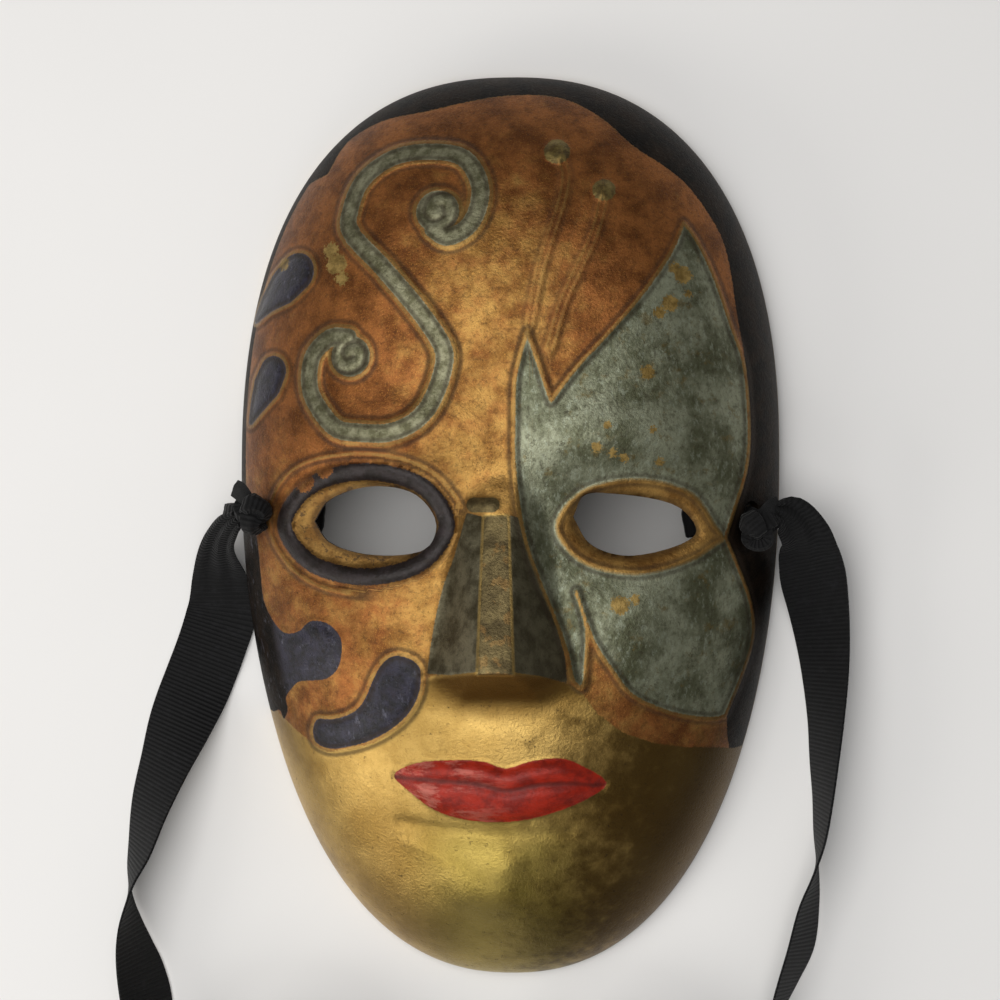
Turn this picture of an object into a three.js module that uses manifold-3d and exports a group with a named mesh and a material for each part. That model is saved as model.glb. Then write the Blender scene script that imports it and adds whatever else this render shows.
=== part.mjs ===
// A venetian masquerade mask on its back: face up (+Z), forehead towards +Y, the viewer's right
// at +X. A thin domed shell with cut-out eyes, a faceted nose, raised ornament lines, and two
// grosgrain ribbon ties, each knotted through a hole at a temple. All sizes are in millimetres.
import * as THREE from "three";
import { ConvexGeometry } from "three/addons/geometries/ConvexGeometry.js";
import { mergeVertices } from "three/addons/utils/BufferGeometryUtils.js";
import Module from "manifold-3d";

const wasm = await Module();
wasm.setup();

// ---- Driving dimensions: the shell ------------------------------------------------------
const FACE_WIDTH = 122.8;
const CROWN_REACH = 85.6; // from the widest line up to the crown
const CHIN_REACH = 120; // from the widest line down to the chin
const DOME_DEPTH = 38;
const WALL = 1.6;
const WIDEST_Y = (CHIN_REACH - CROWN_REACH) / 2;
const OUTLINE_POWER = { up: 2.35, down: 2.25 };
const DOME_POWER = 2.8;
const DOME_SHOULDER = 0.6;
const RIM_ARCH = 4.5; // how far the rim is lifted off the table at the temples
const RIM_ARCH_Y = 3;
const RIM_ARCH_HALF = 55;
const SKIRT = 6; // spare depth below the rim, trimmed off by the arch
const GRID = [28, 44];

// ---- Driving dimensions: the face -------------------------------------------------------
const NOSE = {
  bridge: [2.6, 7.5, 39.6],
  brow: [7.6, 6, 36.6],
  tip: [3.7, -30.5, 51.5],
  wing: [18.5, -33, 33.5],
  base: [8.5, -37.5, 33.5],
};
const NOSE_BAR = { width: 7.4, height: 3.2, rise: 1.3, y: 4.6 };
// Each eye's opening, and how far outside it the raised ring's middle line lies.
const LEFT_EYE = {
  outline: [
    [-41.2, 1.1], [-38.1, 5.5], [-28.3, 8.7], [-18.3, 6.9],
    [-13.8, 0.8], [-15.6, -4.5], [-27.9, -6.2], [-38.1, -3.3],
  ],
  ring: { shift: [-1.7, -0.7], margin: [5.7, 4.5], width: 3.2, rise: 1.3 },
};
const RIGHT_EYE = {
  outline: [
    [15.7, 2.1], [18, 6.7], [24.2, 7.1], [38.7, 4],
    [42.2, -1.5], [28.1, -6.3], [19.3, -3.7],
  ],
  ring: { shift: [0.3, -0.4], margin: [3.2, 2.7], width: 1.4, rise: 0.9 },
};

// ---- Driving dimensions: the ornament ---------------------------------------------------
const LINE_WIDTH = 1.4;
const LINE_RISE = 0.6;
const ANCHOR_DEPTH = 0.9; // how far a raised line runs down into the wall
const SCROLL_BAND = 4.6; // between the two lines of the scroll, centre to centre
const SCROLL = [
  [-12.3, 62.9], [-6.7, 65.9], [-4.8, 72], [-8.5, 80.6], [-15.3, 82.3], [-24.5, 81.3],
  [-31.4, 76.1], [-33.6, 67.5], [-25.6, 56.1], [-16.4, 45.2], [-12, 36.5], [-14.9, 26.1],
  [-23.7, 20.2], [-35.3, 21.1], [-41.8, 29.5], [-41, 37.3],
];
const SCROLL_EYES = [
  [[-15.5, 68.5], [-11.1, 68.5], 8.8],
  [[-34, 37.4], [-29.8, 37.4], 8.6],
];
const WING = [
  [39.6, 66.6], [32.8, 53.4], [22, 40.1], [11.1, 26.9], [5.9, 41.9], [3.2, 22.6], [3.2, 12],
  [11.2, 12.5], [14, 2], [16.4, -13.8], [20.2, -24.5], [28.1, -36], [39.6, -41.3],
  [48.8, -42.1], [53.3, -31.2], [54.5, -17.5], [48.6, -2.5], [53, 11.4], [53.4, 27],
  [49.9, 44.2], [45.4, 56.7],
];
const ANTENNAE = [
  [[6.4, 43.2], [8.4, 54.3], [10.5, 61.8], [13.2, 71], [13.9, 76.7], [11.7, 81.9]],
  [[10.7, 37.9], [13.4, 47.6], [16.7, 55.2], [19.7, 61.9], [21.4, 67.5], [22.2, 73]],
];
// Each drop: its spine from head to tail, and its widths along it.
const DROPS = [
  { spine: [[-46, 57.5], [-49, 53], [-53.2, 48]], widths: [7, 6, 1.2] },
  { spine: [[-51.5, 37], [-52.8, 31], [-54.8, 23.5]], widths: [5, 6.4, 1.2] },
  { spine: [[-39, -24], [-40.5, -28], [-45.5, -32]], widths: [6, 9, 3] },
  { spine: [[-21, -29], [-21, -36], [-29, -43.5], [-40, -46.5]], widths: [6, 9, 6.5, 4] },
];
const LIPS = [
  { spine: [[-22.5, -55], [-11, -52.6], [1, -54], [12, -52.4], [21.5, -55.8]],
    widths: [1.6, 4.8, 4, 4.8, 1.6], rise: 2.6 },
  { spine: [[-20.5, -56.8], [-10, -59.8], [1, -60.7], [11, -59.6], [20, -57.4]],
    widths: [1.6, 6.6, 7, 6.6, 1.6], rise: 3 },
];
const CHIN_SHIELD = { spine: [[-7, -69.5], [-7.5, -78], [-6, -86]], widths: [27, 23, 7], rise: 1 };

// ---- Driving dimensions: the ties -------------------------------------------------------
const GAP = 0.3; // between pieces that touch on the real mask
const TIE_INSET = 6.9; // from the widest part of the rim in to the hole
const TIE_X = FACE_WIDTH / 2 - TIE_INSET;
const TIE_Y = 3;
const STRAND_RADIUS = 1.3; // the ribbon gathered into a strand
const HOLE_CLEARANCE = 1.3; // round the strand
const HOLE_RADIUS = STRAND_RADIUS + HOLE_CLEARANCE;
const KNOT = { radius: 4.9, thickness: 7.4 };
const KNOT_END = { length: 6.5, width: 5.5, thickness: 1.6 };
const RIBBON = { width: 16, thickness: 0.6 };
const ROLL = { outer: 32, inner: 18.5, y: -142, lift: 0.1 };
// Each section of a tie: how far outside the rim its centre is, its centre's Y and Z, how far
// it is turned up off the table in degrees, and its width. Each roll's centre is rollOut
// outside the rim, so a negative one is inside it.
const LEFT_TIE = {
  rollOut: -9.9,
  sections: [
    [1.2, -0.6, 18.4, 0, 5], [3.2, -3, 13.5, 0, 7], [4.9, -7, 7.6, 0, 9.5],
    [5.4, -12.5, 2.5, 0, 13], [5.4, -20, 0.7, 0, 16], [7.6, -27.5, 0.6, 0, 16],
    [10.6, -35.5, 0.6, 0, 16], [14.4, -45, 2.6, 16, 16], [17.8, -54.6, 5.1, 36, 16],
    [20.9, -64, 6.5, 48, 16], [23.1, -73.4, 7.4, 60, 16], [24.9, -80, 8.2, 72, 16],
    [25.5, -86, 8.5, 83, 16], [25.2, -91.5, 8.5, 96, 16], [24.2, -97.1, 8.2, 108, 16],
    [22.8, -103, 7.6, 118, 16], [21.5, -109.7, 7.2, 122, 16], [20.9, -117, 7.6, 116, 16],
    [20.9, -124, 8.2, 103, 16], [21.5, -131, 8.5, 92, 16], [22.5, -138, 8.5, 90, 16],
  ],
};
const RIGHT_TIE = {
  rollOut: -35.7,
  sections: [
    [2, 1.8, 20, 0, 8], [4.8, -1.8, 17.2, 8, 11], [6, -6.5, 13.6, 18, 14],
    [7.2, -12, 10.4, 28, 16], [8.4, -18, 8.2, 36, 16], [9.4, -25, 7, 45, 16],
    [10, -33, 7.2, 54, 16], [10.1, -44, 7.9, 65, 16], [9.7, -53.6, 8.3, 72, 16],
    [9.4, -62, 8.5, 79, 16], [8.8, -69.7, 8.5, 85, 16], [7.8, -78, 8.5, 98, 16],
    [6.3, -86, 8.1, 110, 16], [4.6, -95.2, 7.9, 115, 16], [2, -102, 8.1, 111, 16],
    [-0.2, -107.7, 8.4, 106, 16], [-2.4, -115, 8.5, 98, 16], [-3.4, -122.5, 8.5, 93, 16],
    [-3.5, -130, 8.5, 90, 16], [-3.3, -138, 8.5, 90, 16],
  ],
};

const MATERIALS = {
  brass: { color: 0x8a6a3c, roughness: 0.4, metalness: 0.8 },
  ribbon: { color: 0x0b0b0d, roughness: 0.85, metalness: 0 },
};

// ---- The smooth form of the face --------------------------------------------------------
function bump(x, y, centreX, centreY, spreadX, spreadY) {
  return Math.exp(-(((x - centreX) / spreadX) ** 2) - ((y - centreY) / spreadY) ** 2);
}

// 0 at the widest line's middle, 1 on the outline, which an inset draws in by the wall.
function rimRatio(x, y, inset = 0) {
  const above = y >= WIDEST_Y;
  const reach = (above ? CROWN_REACH : CHIN_REACH) - inset;
  const power = above ? OUTLINE_POWER.up : OUTLINE_POWER.down;
  const across = Math.abs(x / (FACE_WIDTH / 2 - inset)) ** power;
  return (across + Math.abs((y - WIDEST_Y) / reach) ** power) ** (1 / power);
}

function rimLift(y) {
  const away = Math.min(Math.abs(y - RIM_ARCH_Y) / RIM_ARCH_HALF, 1);
  return RIM_ARCH * Math.cos((away * Math.PI) / 2) ** 2;
}

function faceHeight(x, y, inset = 0) {
  const ratio = Math.min(rimRatio(x, y, inset), 1);
  const lift = rimLift(y);
  const dome = (DOME_DEPTH - inset - lift) * (1 - ratio ** DOME_POWER) ** DOME_SHOULDER;
  const side = Math.abs(x);
  const sockets = -4.5 * bump(side, y, 27, 1, 16, 11);
  const brows = 2 * bump(side, y, 22, 19, 20, 8);
  const cheeks = 2 * bump(side, y, 30, -26, 14, 16);
  const muzzle = 3 * bump(x, y, 0, -54, 24, 14);
  const chin = 4 * bump(x, y, 0, -80, 16, 11);
  return lift + dome + sockets + brows + cheeks + muzzle + chin;
}

function faceNormal(x, y) {
  const step = 0.05;
  const slopeX = (faceHeight(x + step, y) - faceHeight(x - step, y)) / (2 * step);
  const slopeY = (faceHeight(x, y + step) - faceHeight(x, y - step)) / (2 * step);
  return new THREE.Vector3(-slopeX, -slopeY, 1).normalize();
}

// ---- Turning lists of points into closed solids -----------------------------------------
function indexedGeometry(points, triangles) {
  const geometry = new THREE.BufferGeometry();
  geometry.setAttribute("position", new THREE.Float32BufferAttribute(points.flat(), 3));
  geometry.setIndex(triangles.flat());
  return geometry;
}

function toSolid(source) {
  const bare = new THREE.BufferGeometry();
  bare.setAttribute("position", source.getAttribute("position"));
  bare.setIndex(source.index);
  const merged = mergeVertices(bare, 1e-4);
  const mesh = new wasm.Mesh({
    numProp: 3,
    vertProperties: new Float32Array(merged.getAttribute("position").array),
    triVerts: new Uint32Array(merged.index.array),
  });
  return new wasm.Manifold(mesh);
}

function toGeometry(solid) {
  const mesh = solid.getMesh();
  const geometry = new THREE.BufferGeometry();
  geometry.setAttribute("position", new THREE.BufferAttribute(mesh.vertProperties, 3));
  geometry.setIndex(new THREE.BufferAttribute(mesh.triVerts, 1));
  const faceted = geometry.toNonIndexed();
  faceted.computeVertexNormals();
  return faceted;
}

// A solid skinned over rings of points, each ring in order and seen anticlockwise from the end.
// A thin strip that twists has matched sides: both of its faces are split along one diagonal.
function skinnedGeometry(rings, closed, matched = false) {
  const count = rings[0].length;
  const triangles = [];
  const spans = closed ? rings.length : rings.length - 1;
  for (let i = 0; i < spans; i += 1) {
    const here = i * count;
    const next = ((i + 1) % rings.length) * count;
    for (let j = 0; j < count; j += 1) {
      const k = (j + 1) % count;
      if (matched && 2 * j >= count) {
        triangles.push([here + j, here + k, next + j], [here + k, next + k, next + j]);
      } else {
        triangles.push([here + j, here + k, next + k], [here + j, next + k, next + j]);
      }
    }
  }
  if (!closed) {
    const last = (rings.length - 1) * count;
    for (let j = 1; j < count - 1; j += 1) {
      triangles.push([0, j + 1, j], [last, last + j, last + j + 1]);
    }
  }
  return indexedGeometry(rings.flat(), triangles);
}

// ---- The shell --------------------------------------------------------------------------
// A place on the outline's disc for a cell of a square grid, with the rings closer at the rim.
function outlinePlace(u, v, inset) {
  const discX = u * Math.sqrt(1 - (v * v) / 2);
  const discY = v * Math.sqrt(1 - (u * u) / 2);
  const radius = Math.hypot(discX, discY);
  if (radius < 1e-9) return [0, WIDEST_Y];
  const reach = (v >= 0 ? CROWN_REACH : CHIN_REACH) - inset;
  const x = discX * (FACE_WIDTH / 2 - inset);
  const y = WIDEST_Y + discY * reach;
  const drawn = Math.min(1.18 * radius - 0.18 * radius ** 6, 1);
  const scale = drawn / rimRatio(x, y, inset);
  return [x * scale, WIDEST_Y + (y - WIDEST_Y) * scale];
}

function domeSolid([columns, rows], inset, floor) {
  const points = [];
  for (let layer = 0; layer < 2; layer += 1) {
    for (let j = 0; j <= rows; j += 1) {
      for (let i = 0; i <= columns; i += 1) {
        const [x, y] = outlinePlace((2 * i) / columns - 1, (2 * j) / rows - 1, inset);
        points.push([x, y, layer ? floor : faceHeight(x, y, inset)]);
      }
    }
  }
  const wide = columns + 1;
  const under = wide * (rows + 1);
  const triangles = [];
  for (let j = 0; j < rows; j += 1) {
    for (let i = 0; i < columns; i += 1) {
      const a = j * wide + i;
      triangles.push([a, a + 1, a + wide + 1], [a, a + wide + 1, a + wide]);
      triangles.push([under + a, under + a + wide + 1, under + a + 1]);
      triangles.push([under + a, under + a + wide, under + a + wide + 1]);
    }
  }
  const edge = [];
  for (let i = 0; i < columns; i += 1) edge.push(i);
  for (let j = 0; j < rows; j += 1) edge.push(j * wide + columns);
  for (let i = columns; i > 0; i -= 1) edge.push(rows * wide + i);
  for (let j = rows; j > 0; j -= 1) edge.push(j * wide);
  edge.forEach((a, n) => {
    const b = edge[(n + 1) % edge.length];
    triangles.push([a, under + a, under + b], [a, under + b, b]);
  });
  return toSolid(indexedGeometry(points, triangles));
}

// The nose is a wedge with a flat ridge, two flanks and a cut-back underside.
function noseSolid(inset) {
  const points = [];
  for (const [x, y, z] of Object.values(NOSE)) {
    const half = Math.max(x - inset * 0.6, 0.8);
    const along = y < 0 ? y + inset : y - inset;
    for (const sign of [-1, 1]) {
      points.push(new THREE.Vector3(sign * half, along, z - inset));
      points.push(new THREE.Vector3(sign * half, along, DOME_DEPTH / 2));
    }
  }
  return toSolid(new ConvexGeometry(points));
}

// Everything below the rim: flat under the crown and the chin, arched at the temples.
function belowRimSolid() {
  const reach = FACE_WIDTH;
  const shape = new THREE.Shape();
  shape.moveTo(-reach, -2 * SKIRT);
  shape.lineTo(reach, -2 * SKIRT);
  shape.lineTo(reach, 0);
  const steps = 20;
  for (let i = steps; i >= 0; i -= 1) {
    const y = RIM_ARCH_Y + RIM_ARCH_HALF * ((2 * i) / steps - 1);
    shape.lineTo(y, rimLift(y));
  }
  shape.lineTo(-reach, 0);
  const geometry = new THREE.ExtrudeGeometry(shape, { depth: 2 * reach, bevelEnabled: false });
  geometry.rotateX(Math.PI / 2).rotateZ(Math.PI / 2).translate(-reach, 0, 0);
  return toSolid(geometry);
}

function linePoints(points, count, closed = false) {
  const knots = points.map(([x, y]) => new THREE.Vector3(x, y, 0));
  const curve = new THREE.CatmullRomCurve3(knots, closed, "centripetal");
  const spaced = curve.getSpacedPoints(count);
  return closed ? spaced.slice(0, count) : spaced;
}

function eyeSolid({ outline: knots }) {
  const outline = linePoints(knots, 28, true).map((p) => new THREE.Vector2(p.x, p.y));
  const depth = 3 * DOME_DEPTH;
  const geometry = new THREE.ExtrudeGeometry(new THREE.Shape(outline), {
    depth,
    bevelEnabled: false,
  });
  return toSolid(geometry.translate(0, 0, -DOME_DEPTH / 2));
}

// ---- Raised ornament --------------------------------------------------------------------
// A raised strip over the face along a spine; a crowned one is rounded over, others are flat.
function reliefSolid(spine, widths, rise, { closed = false, crowned = false } = {}) {
  const rings = spine.map((point, i) => {
    const before = spine[closed ? (i + spine.length - 1) % spine.length : Math.max(i - 1, 0)];
    const after = spine[closed ? (i + 1) % spine.length : Math.min(i + 1, spine.length - 1)];
    const heading = after.clone().sub(before).normalize();
    const left = new THREE.Vector3(-heading.y, heading.x, 0);
    const place = (offset, lift) => {
      const x = point.x + left.x * offset;
      const y = point.y + left.y * offset;
      return [x, y, faceHeight(x, y) + lift];
    };
    const half = widths[i] / 2;
    const low = -ANCHOR_DEPTH;
    if (!crowned) {
      return [place(-half, low), place(-half, rise), place(half, rise), place(half, low)];
    }
    return [
      place(-half, low), place(-half, 0.15), place(-half / 2, rise * 0.75), place(0, rise),
      place(half / 2, rise * 0.75), place(half, 0.15), place(half, low),
    ];
  });
  return toSolid(skinnedGeometry(rings.map((ring) => ring.reverse()), closed));
}

function even(spine, width) {
  return spine.map(() => width);
}

// Widths given at a few places, spread evenly along a spine of more points.
function spreadWidths(widths, count) {
  return Array.from({ length: count }, (_, i) => {
    const at = (i / (count - 1)) * (widths.length - 1);
    const k = Math.min(Math.floor(at), widths.length - 2);
    return THREE.MathUtils.lerp(widths[k], widths[k + 1], at - k);
  });
}

function offsetLine(spine, distance) {
  return spine.map((point, i) => {
    const before = spine[Math.max(i - 1, 0)];
    const after = spine[Math.min(i + 1, spine.length - 1)];
    const heading = after.clone().sub(before).normalize();
    return new THREE.Vector3(point.x - heading.y * distance, point.y + heading.x * distance, 0);
  });
}

function taperedRelief({ spine, widths, rise = 1 }, count) {
  const points = linePoints(spine, count);
  return reliefSolid(points, spreadWidths(widths, points.length), rise, { crowned: true });
}

function eyeRingSolid({ outline, ring: { shift, margin, width, rise } }) {
  const box = new THREE.Box2().setFromPoints(outline.map(([x, y]) => new THREE.Vector2(x, y)));
  const centre = box.getCenter(new THREE.Vector2());
  const size = box.getSize(new THREE.Vector2());
  const ellipse = new THREE.EllipseCurve(
    centre.x + shift[0],
    centre.y + shift[1],
    size.x / 2 + margin[0],
    size.y / 2 + margin[1],
  );
  const spine = ellipse.getSpacedPoints(32).slice(0, 32);
  const points = spine.map((p) => new THREE.Vector3(p.x, p.y, 0));
  return reliefSolid(points, even(points, width), rise, { closed: true });
}

function scrollSolids() {
  const middle = linePoints(SCROLL, 38);
  const solids = [-0.5, 0.5].map((side) => {
    const line = offsetLine(middle, side * SCROLL_BAND);
    return reliefSolid(line, even(line, LINE_WIDTH), LINE_RISE);
  });
  for (const [from, to, width] of SCROLL_EYES) {
    solids.push(taperedRelief({ spine: [from, to], widths: [width * 0.5, width, width * 0.5] }, 4));
  }
  return solids;
}

function wingSolids() {
  const border = linePoints(WING, 70, true);
  const solids = [reliefSolid(border, even(border, LINE_WIDTH), LINE_RISE, { closed: true })];
  for (const stem of ANTENNAE) {
    const line = linePoints(stem, 10);
    solids.push(reliefSolid(line, even(line, LINE_WIDTH), LINE_RISE));
  }
  return solids;
}

function noseBarSolid() {
  const top = faceHeight(0, NOSE_BAR.y) + NOSE_BAR.rise + 1.6;
  const height = 4 * NOSE_BAR.rise;
  const bar = new THREE.BoxGeometry(NOSE_BAR.width, NOSE_BAR.height, height);
  return toSolid(bar.translate(0, NOSE_BAR.y, top - height / 2));
}

// ---- The tie holes, and places measured from the wall ------------------------------------
function wallPlace(side, x, offset) {
  const normal = faceNormal(x, TIE_Y);
  const point = new THREE.Vector3(x, TIE_Y, faceHeight(x, TIE_Y));
  point.addScaledVector(normal, offset);
  return new THREE.Vector3(side * point.x, point.y, point.z);
}

function tieNormal(side) {
  const normal = faceNormal(TIE_X, TIE_Y);
  return new THREE.Vector3(side * normal.x, normal.y, normal.z);
}

function alignTo(direction) {
  return new THREE.Quaternion().setFromUnitVectors(new THREE.Vector3(0, 0, 1), direction);
}

function tieHoleSolid(side) {
  const drill = new THREE.CylinderGeometry(HOLE_RADIUS, HOLE_RADIUS, 8 * WALL, 20);
  drill.rotateX(Math.PI / 2).applyQuaternion(alignTo(tieNormal(side)));
  const centre = wallPlace(side, TIE_X, -WALL / 2);
  return toSolid(drill.translate(centre.x, centre.y, centre.z));
}

function maskShell() {
  const added = [
    noseSolid(0),
    eyeRingSolid(LEFT_EYE),
    eyeRingSolid(RIGHT_EYE),
    noseBarSolid(),
    ...scrollSolids(),
    ...wingSolids(),
    ...DROPS.map((drop) => taperedRelief(drop, 6)),
    ...LIPS.map((lip) => taperedRelief(lip, 14)),
    taperedRelief(CHIN_SHIELD, 6),
  ];
  const cut = [
    domeSolid(GRID, WALL, -2 * SKIRT),
    noseSolid(WALL),
    belowRimSolid(),
    eyeSolid(LEFT_EYE),
    eyeSolid(RIGHT_EYE),
    tieHoleSolid(-1),
    tieHoleSolid(1),
  ];
  let shell = domeSolid(GRID, 0, -SKIRT);
  for (const solid of added) shell = shell.add(solid);
  for (const solid of cut) shell = shell.subtract(solid);
  return toGeometry(shell);
}

// ---- The ties ---------------------------------------------------------------------------
function circleShape(radius, sides) {
  const shape = new THREE.Shape();
  shape.absarc(0, 0, radius, 0, 2 * Math.PI);
  return new THREE.Shape(shape.getPoints(sides).slice(0, sides));
}

// The gathered strand: in at the hole, down inside the wall, under the arched rim, up outside.
function ribbonLoop(side) {
  const half = FACE_WIDTH / 2;
  const inside = -(WALL + 3 * GAP + STRAND_RADIUS + 0.6);
  const outside = 2 * GAP + STRAND_RADIUS;
  const underRim = rimLift(TIE_Y) - GAP - STRAND_RADIUS;
  const path = new THREE.CatmullRomCurve3([
    wallPlace(side, TIE_X, 0),
    wallPlace(side, TIE_X, -WALL),
    wallPlace(side, TIE_X + 0.6, inside),
    wallPlace(side, TIE_X + 3.2, inside),
    new THREE.Vector3(side * (half - WALL - 2.8), TIE_Y, underRim + 4),
    new THREE.Vector3(side * (half - WALL - 1.4), TIE_Y, underRim + 0.2),
    new THREE.Vector3(side * (half + 0.2), TIE_Y, underRim - 0.1),
    new THREE.Vector3(side * (half + outside), TIE_Y, underRim + 3),
    wallPlace(side, half - 1.2, outside + 0.2),
    wallPlace(side, half - 2.6, outside),
  ]);
  return new THREE.ExtrudeGeometry(circleShape(STRAND_RADIUS, 8), {
    steps: 22,
    extrudePath: path,
    bevelEnabled: false,
  });
}

function knotCentre(side) {
  return wallPlace(side, TIE_X, KNOT.thickness / 2 + GAP);
}

function knot(side) {
  const lump = new THREE.SphereGeometry(KNOT.radius, 16, 10);
  lump.scale(1, 1, KNOT.thickness / 2 / KNOT.radius);
  return lump.applyQuaternion(alignTo(tieNormal(side)));
}

// The short cut end that stands out of the knot, up and away from the face.
function knotEnd(side) {
  const end = new THREE.BoxGeometry(KNOT_END.length, KNOT_END.width, KNOT_END.thickness);
  return end.rotateY(side * 0.35).rotateZ(Math.PI / 2 + side * -0.45);
}

// A flat ribbon through its sections, turned up off the table by each section's angle.
function ribbonStrip(side, sections) {
  const centres = sections.map(([out, y, z]) => (
    new THREE.Vector3(side * (FACE_WIDTH / 2 + out), y, z)
  ));
  const rings = sections.map(([, , , turn, width], i) => {
    const before = centres[Math.max(i - 1, 0)];
    const after = centres[Math.min(i + 1, centres.length - 1)];
    const heading = after.clone().sub(before).normalize();
    const level = new THREE.Vector3(-heading.y, heading.x, 0).normalize();
    const angle = THREE.MathUtils.degToRad(turn);
    const across = level.clone().multiplyScalar(Math.cos(angle)).setZ(Math.sin(angle));
    const normal = heading.clone().cross(across).normalize();
    const corners = [[-1, -1], [1, -1], [1, 1], [-1, 1]];
    return corners.map(([a, b]) => centres[i].clone()
      .addScaledVector(across, (a * width) / 2)
      .addScaledVector(normal, (b * RIBBON.thickness) / 2)
      .toArray());
  });
  return skinnedGeometry(rings, false, true).toNonIndexed();
}

function ribbonRoll() {
  const height = RIBBON.width;
  const profile = [
    new THREE.Vector2(ROLL.inner, 0),
    new THREE.Vector2(ROLL.outer, 0),
    new THREE.Vector2(ROLL.outer, height),
    new THREE.Vector2(ROLL.inner, height),
    new THREE.Vector2(ROLL.inner, 0),
  ];
  return new THREE.LatheGeometry(profile, 32).rotateX(Math.PI / 2);
}

// ---- The assembly -----------------------------------------------------------------------
function addPart(parent, name, geometry, finish, position = new THREE.Vector3()) {
  geometry.computeVertexNormals();
  const part = new THREE.Mesh(geometry, new THREE.MeshStandardMaterial(finish));
  part.name = name;
  part.position.copy(position);
  parent.add(part);
}

function addTie(parent, word, side, { sections, rollOut }) {
  const centre = knotCentre(side);
  const endPlace = centre.clone().add(new THREE.Vector3(
    side * 1.2,
    KNOT.radius + GAP + KNOT_END.length / 2,
    0.6,
  ));
  const rollX = side * (FACE_WIDTH / 2 + rollOut);
  const rollPlace = new THREE.Vector3(rollX, ROLL.y, ROLL.lift);
  addPart(parent, `${word}_ribbon_loop`, ribbonLoop(side), MATERIALS.ribbon);
  addPart(parent, `${word}_knot`, knot(side), MATERIALS.ribbon, centre);
  addPart(parent, `${word}_knot_end`, knotEnd(side), MATERIALS.ribbon, endPlace);
  addPart(parent, `${word}_ribbon`, ribbonStrip(side, sections), MATERIALS.ribbon);
  addPart(parent, `${word}_ribbon_roll`, ribbonRoll(), MATERIALS.ribbon, rollPlace);
}

const mask = new THREE.Group();
mask.name = "venetian_mask";
addPart(mask, "mask_shell", maskShell(), MATERIALS.brass);
addTie(mask, "left", -1, LEFT_TIE);
addTie(mask, "right", 1, RIGHT_TIE);

export default mask;
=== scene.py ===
"""A painted brass masquerade mask on its back, with a grosgrain tie knotted at each temple.

The face looks up (+Z), the forehead is towards +Y and the viewer's right is +X. Sizes that
describe the face and its ornament are in millimetres, as a mask maker would mark them out, and
are turned into metres where a mesh is made.
"""

import logging
import math
from collections.abc import Callable, Sequence
from dataclasses import dataclass, field
from enum import Enum

import bpy
import numpy as np
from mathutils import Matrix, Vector


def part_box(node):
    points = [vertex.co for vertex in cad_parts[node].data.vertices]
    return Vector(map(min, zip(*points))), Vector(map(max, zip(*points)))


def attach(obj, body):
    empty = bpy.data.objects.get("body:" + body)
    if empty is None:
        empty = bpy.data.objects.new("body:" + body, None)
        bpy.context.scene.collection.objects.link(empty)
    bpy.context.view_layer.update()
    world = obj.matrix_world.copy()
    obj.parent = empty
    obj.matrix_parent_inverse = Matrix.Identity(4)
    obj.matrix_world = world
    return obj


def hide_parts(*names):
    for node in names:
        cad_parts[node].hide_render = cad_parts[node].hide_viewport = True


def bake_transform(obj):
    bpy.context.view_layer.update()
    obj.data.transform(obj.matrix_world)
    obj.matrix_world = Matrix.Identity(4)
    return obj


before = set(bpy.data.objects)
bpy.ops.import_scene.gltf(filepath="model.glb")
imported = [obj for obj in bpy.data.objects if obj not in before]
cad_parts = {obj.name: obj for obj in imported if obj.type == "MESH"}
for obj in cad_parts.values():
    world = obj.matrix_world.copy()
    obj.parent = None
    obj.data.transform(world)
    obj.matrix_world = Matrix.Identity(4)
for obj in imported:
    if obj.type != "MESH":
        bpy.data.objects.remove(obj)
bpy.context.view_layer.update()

LOG = logging.getLogger("mask")
MM = 0.001

Array = np.ndarray
Points = Sequence[tuple[float, float]]
Spots = Sequence[tuple[tuple[float, float], float]]
Colour = tuple[float, float, float]


class Body(Enum):
    """The three bodies of the object; the pieces made here all ride on the mask's."""

    MASK = "mask"
    LEFT_TIE = "left_tie"
    RIGHT_TIE = "right_tie"


class Slot(Enum):
    """The two finishes that the object is made in."""

    BRASS = "mask_brass"
    RIBBON = "ribbon"


# ---- Outlines and distances ---------------------------------------------------------------
def smooth_line(points: Sequence[Sequence[float]], closed: bool = False, per_span: int = 6) -> Array:
    """Draws a smooth curve through points.

    Args:
        points: the points, each of any number of coordinates.
        closed: whether the curve runs round to its first point.
        per_span: how many short steps replace each span.

    Returns:
        The curve's points, one row each; a closed curve doesn't repeat its first.
    """
    knots = np.asarray(points, float)
    count = len(knots)
    spans = count if closed else count - 1
    if closed:
        padded = np.vstack([knots[-1:], knots, knots[:2]])
    else:
        padded = np.vstack([2 * knots[0] - knots[1], knots, 2 * knots[-1] - knots[-2]])
    found = []
    for i in range(spans):
        before, start, end, after = padded[i : i + 4]
        pairs = ((before, start), (start, end), (end, after))
        first, middle, last = (max(np.linalg.norm(b - a) ** 0.5, 1e-6) for a, b in pairs)
        leave = ((start - before) / first - (end - before) / (first + middle)) * middle + (end - start)
        arrive = ((after - end) / last - (after - start) / (middle + last)) * middle + (end - start)
        t = (np.arange(per_span) / per_span)[:, None]
        found.append(
            (2 * t**3 - 3 * t**2 + 1) * start
            + (t**3 - 2 * t**2 + t) * leave
            + (3 * t**2 - 2 * t**3) * end
            + (t**3 - t**2) * arrive
        )
    if not closed:
        found.append(knots[-1:])
    return np.vstack(found)


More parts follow.
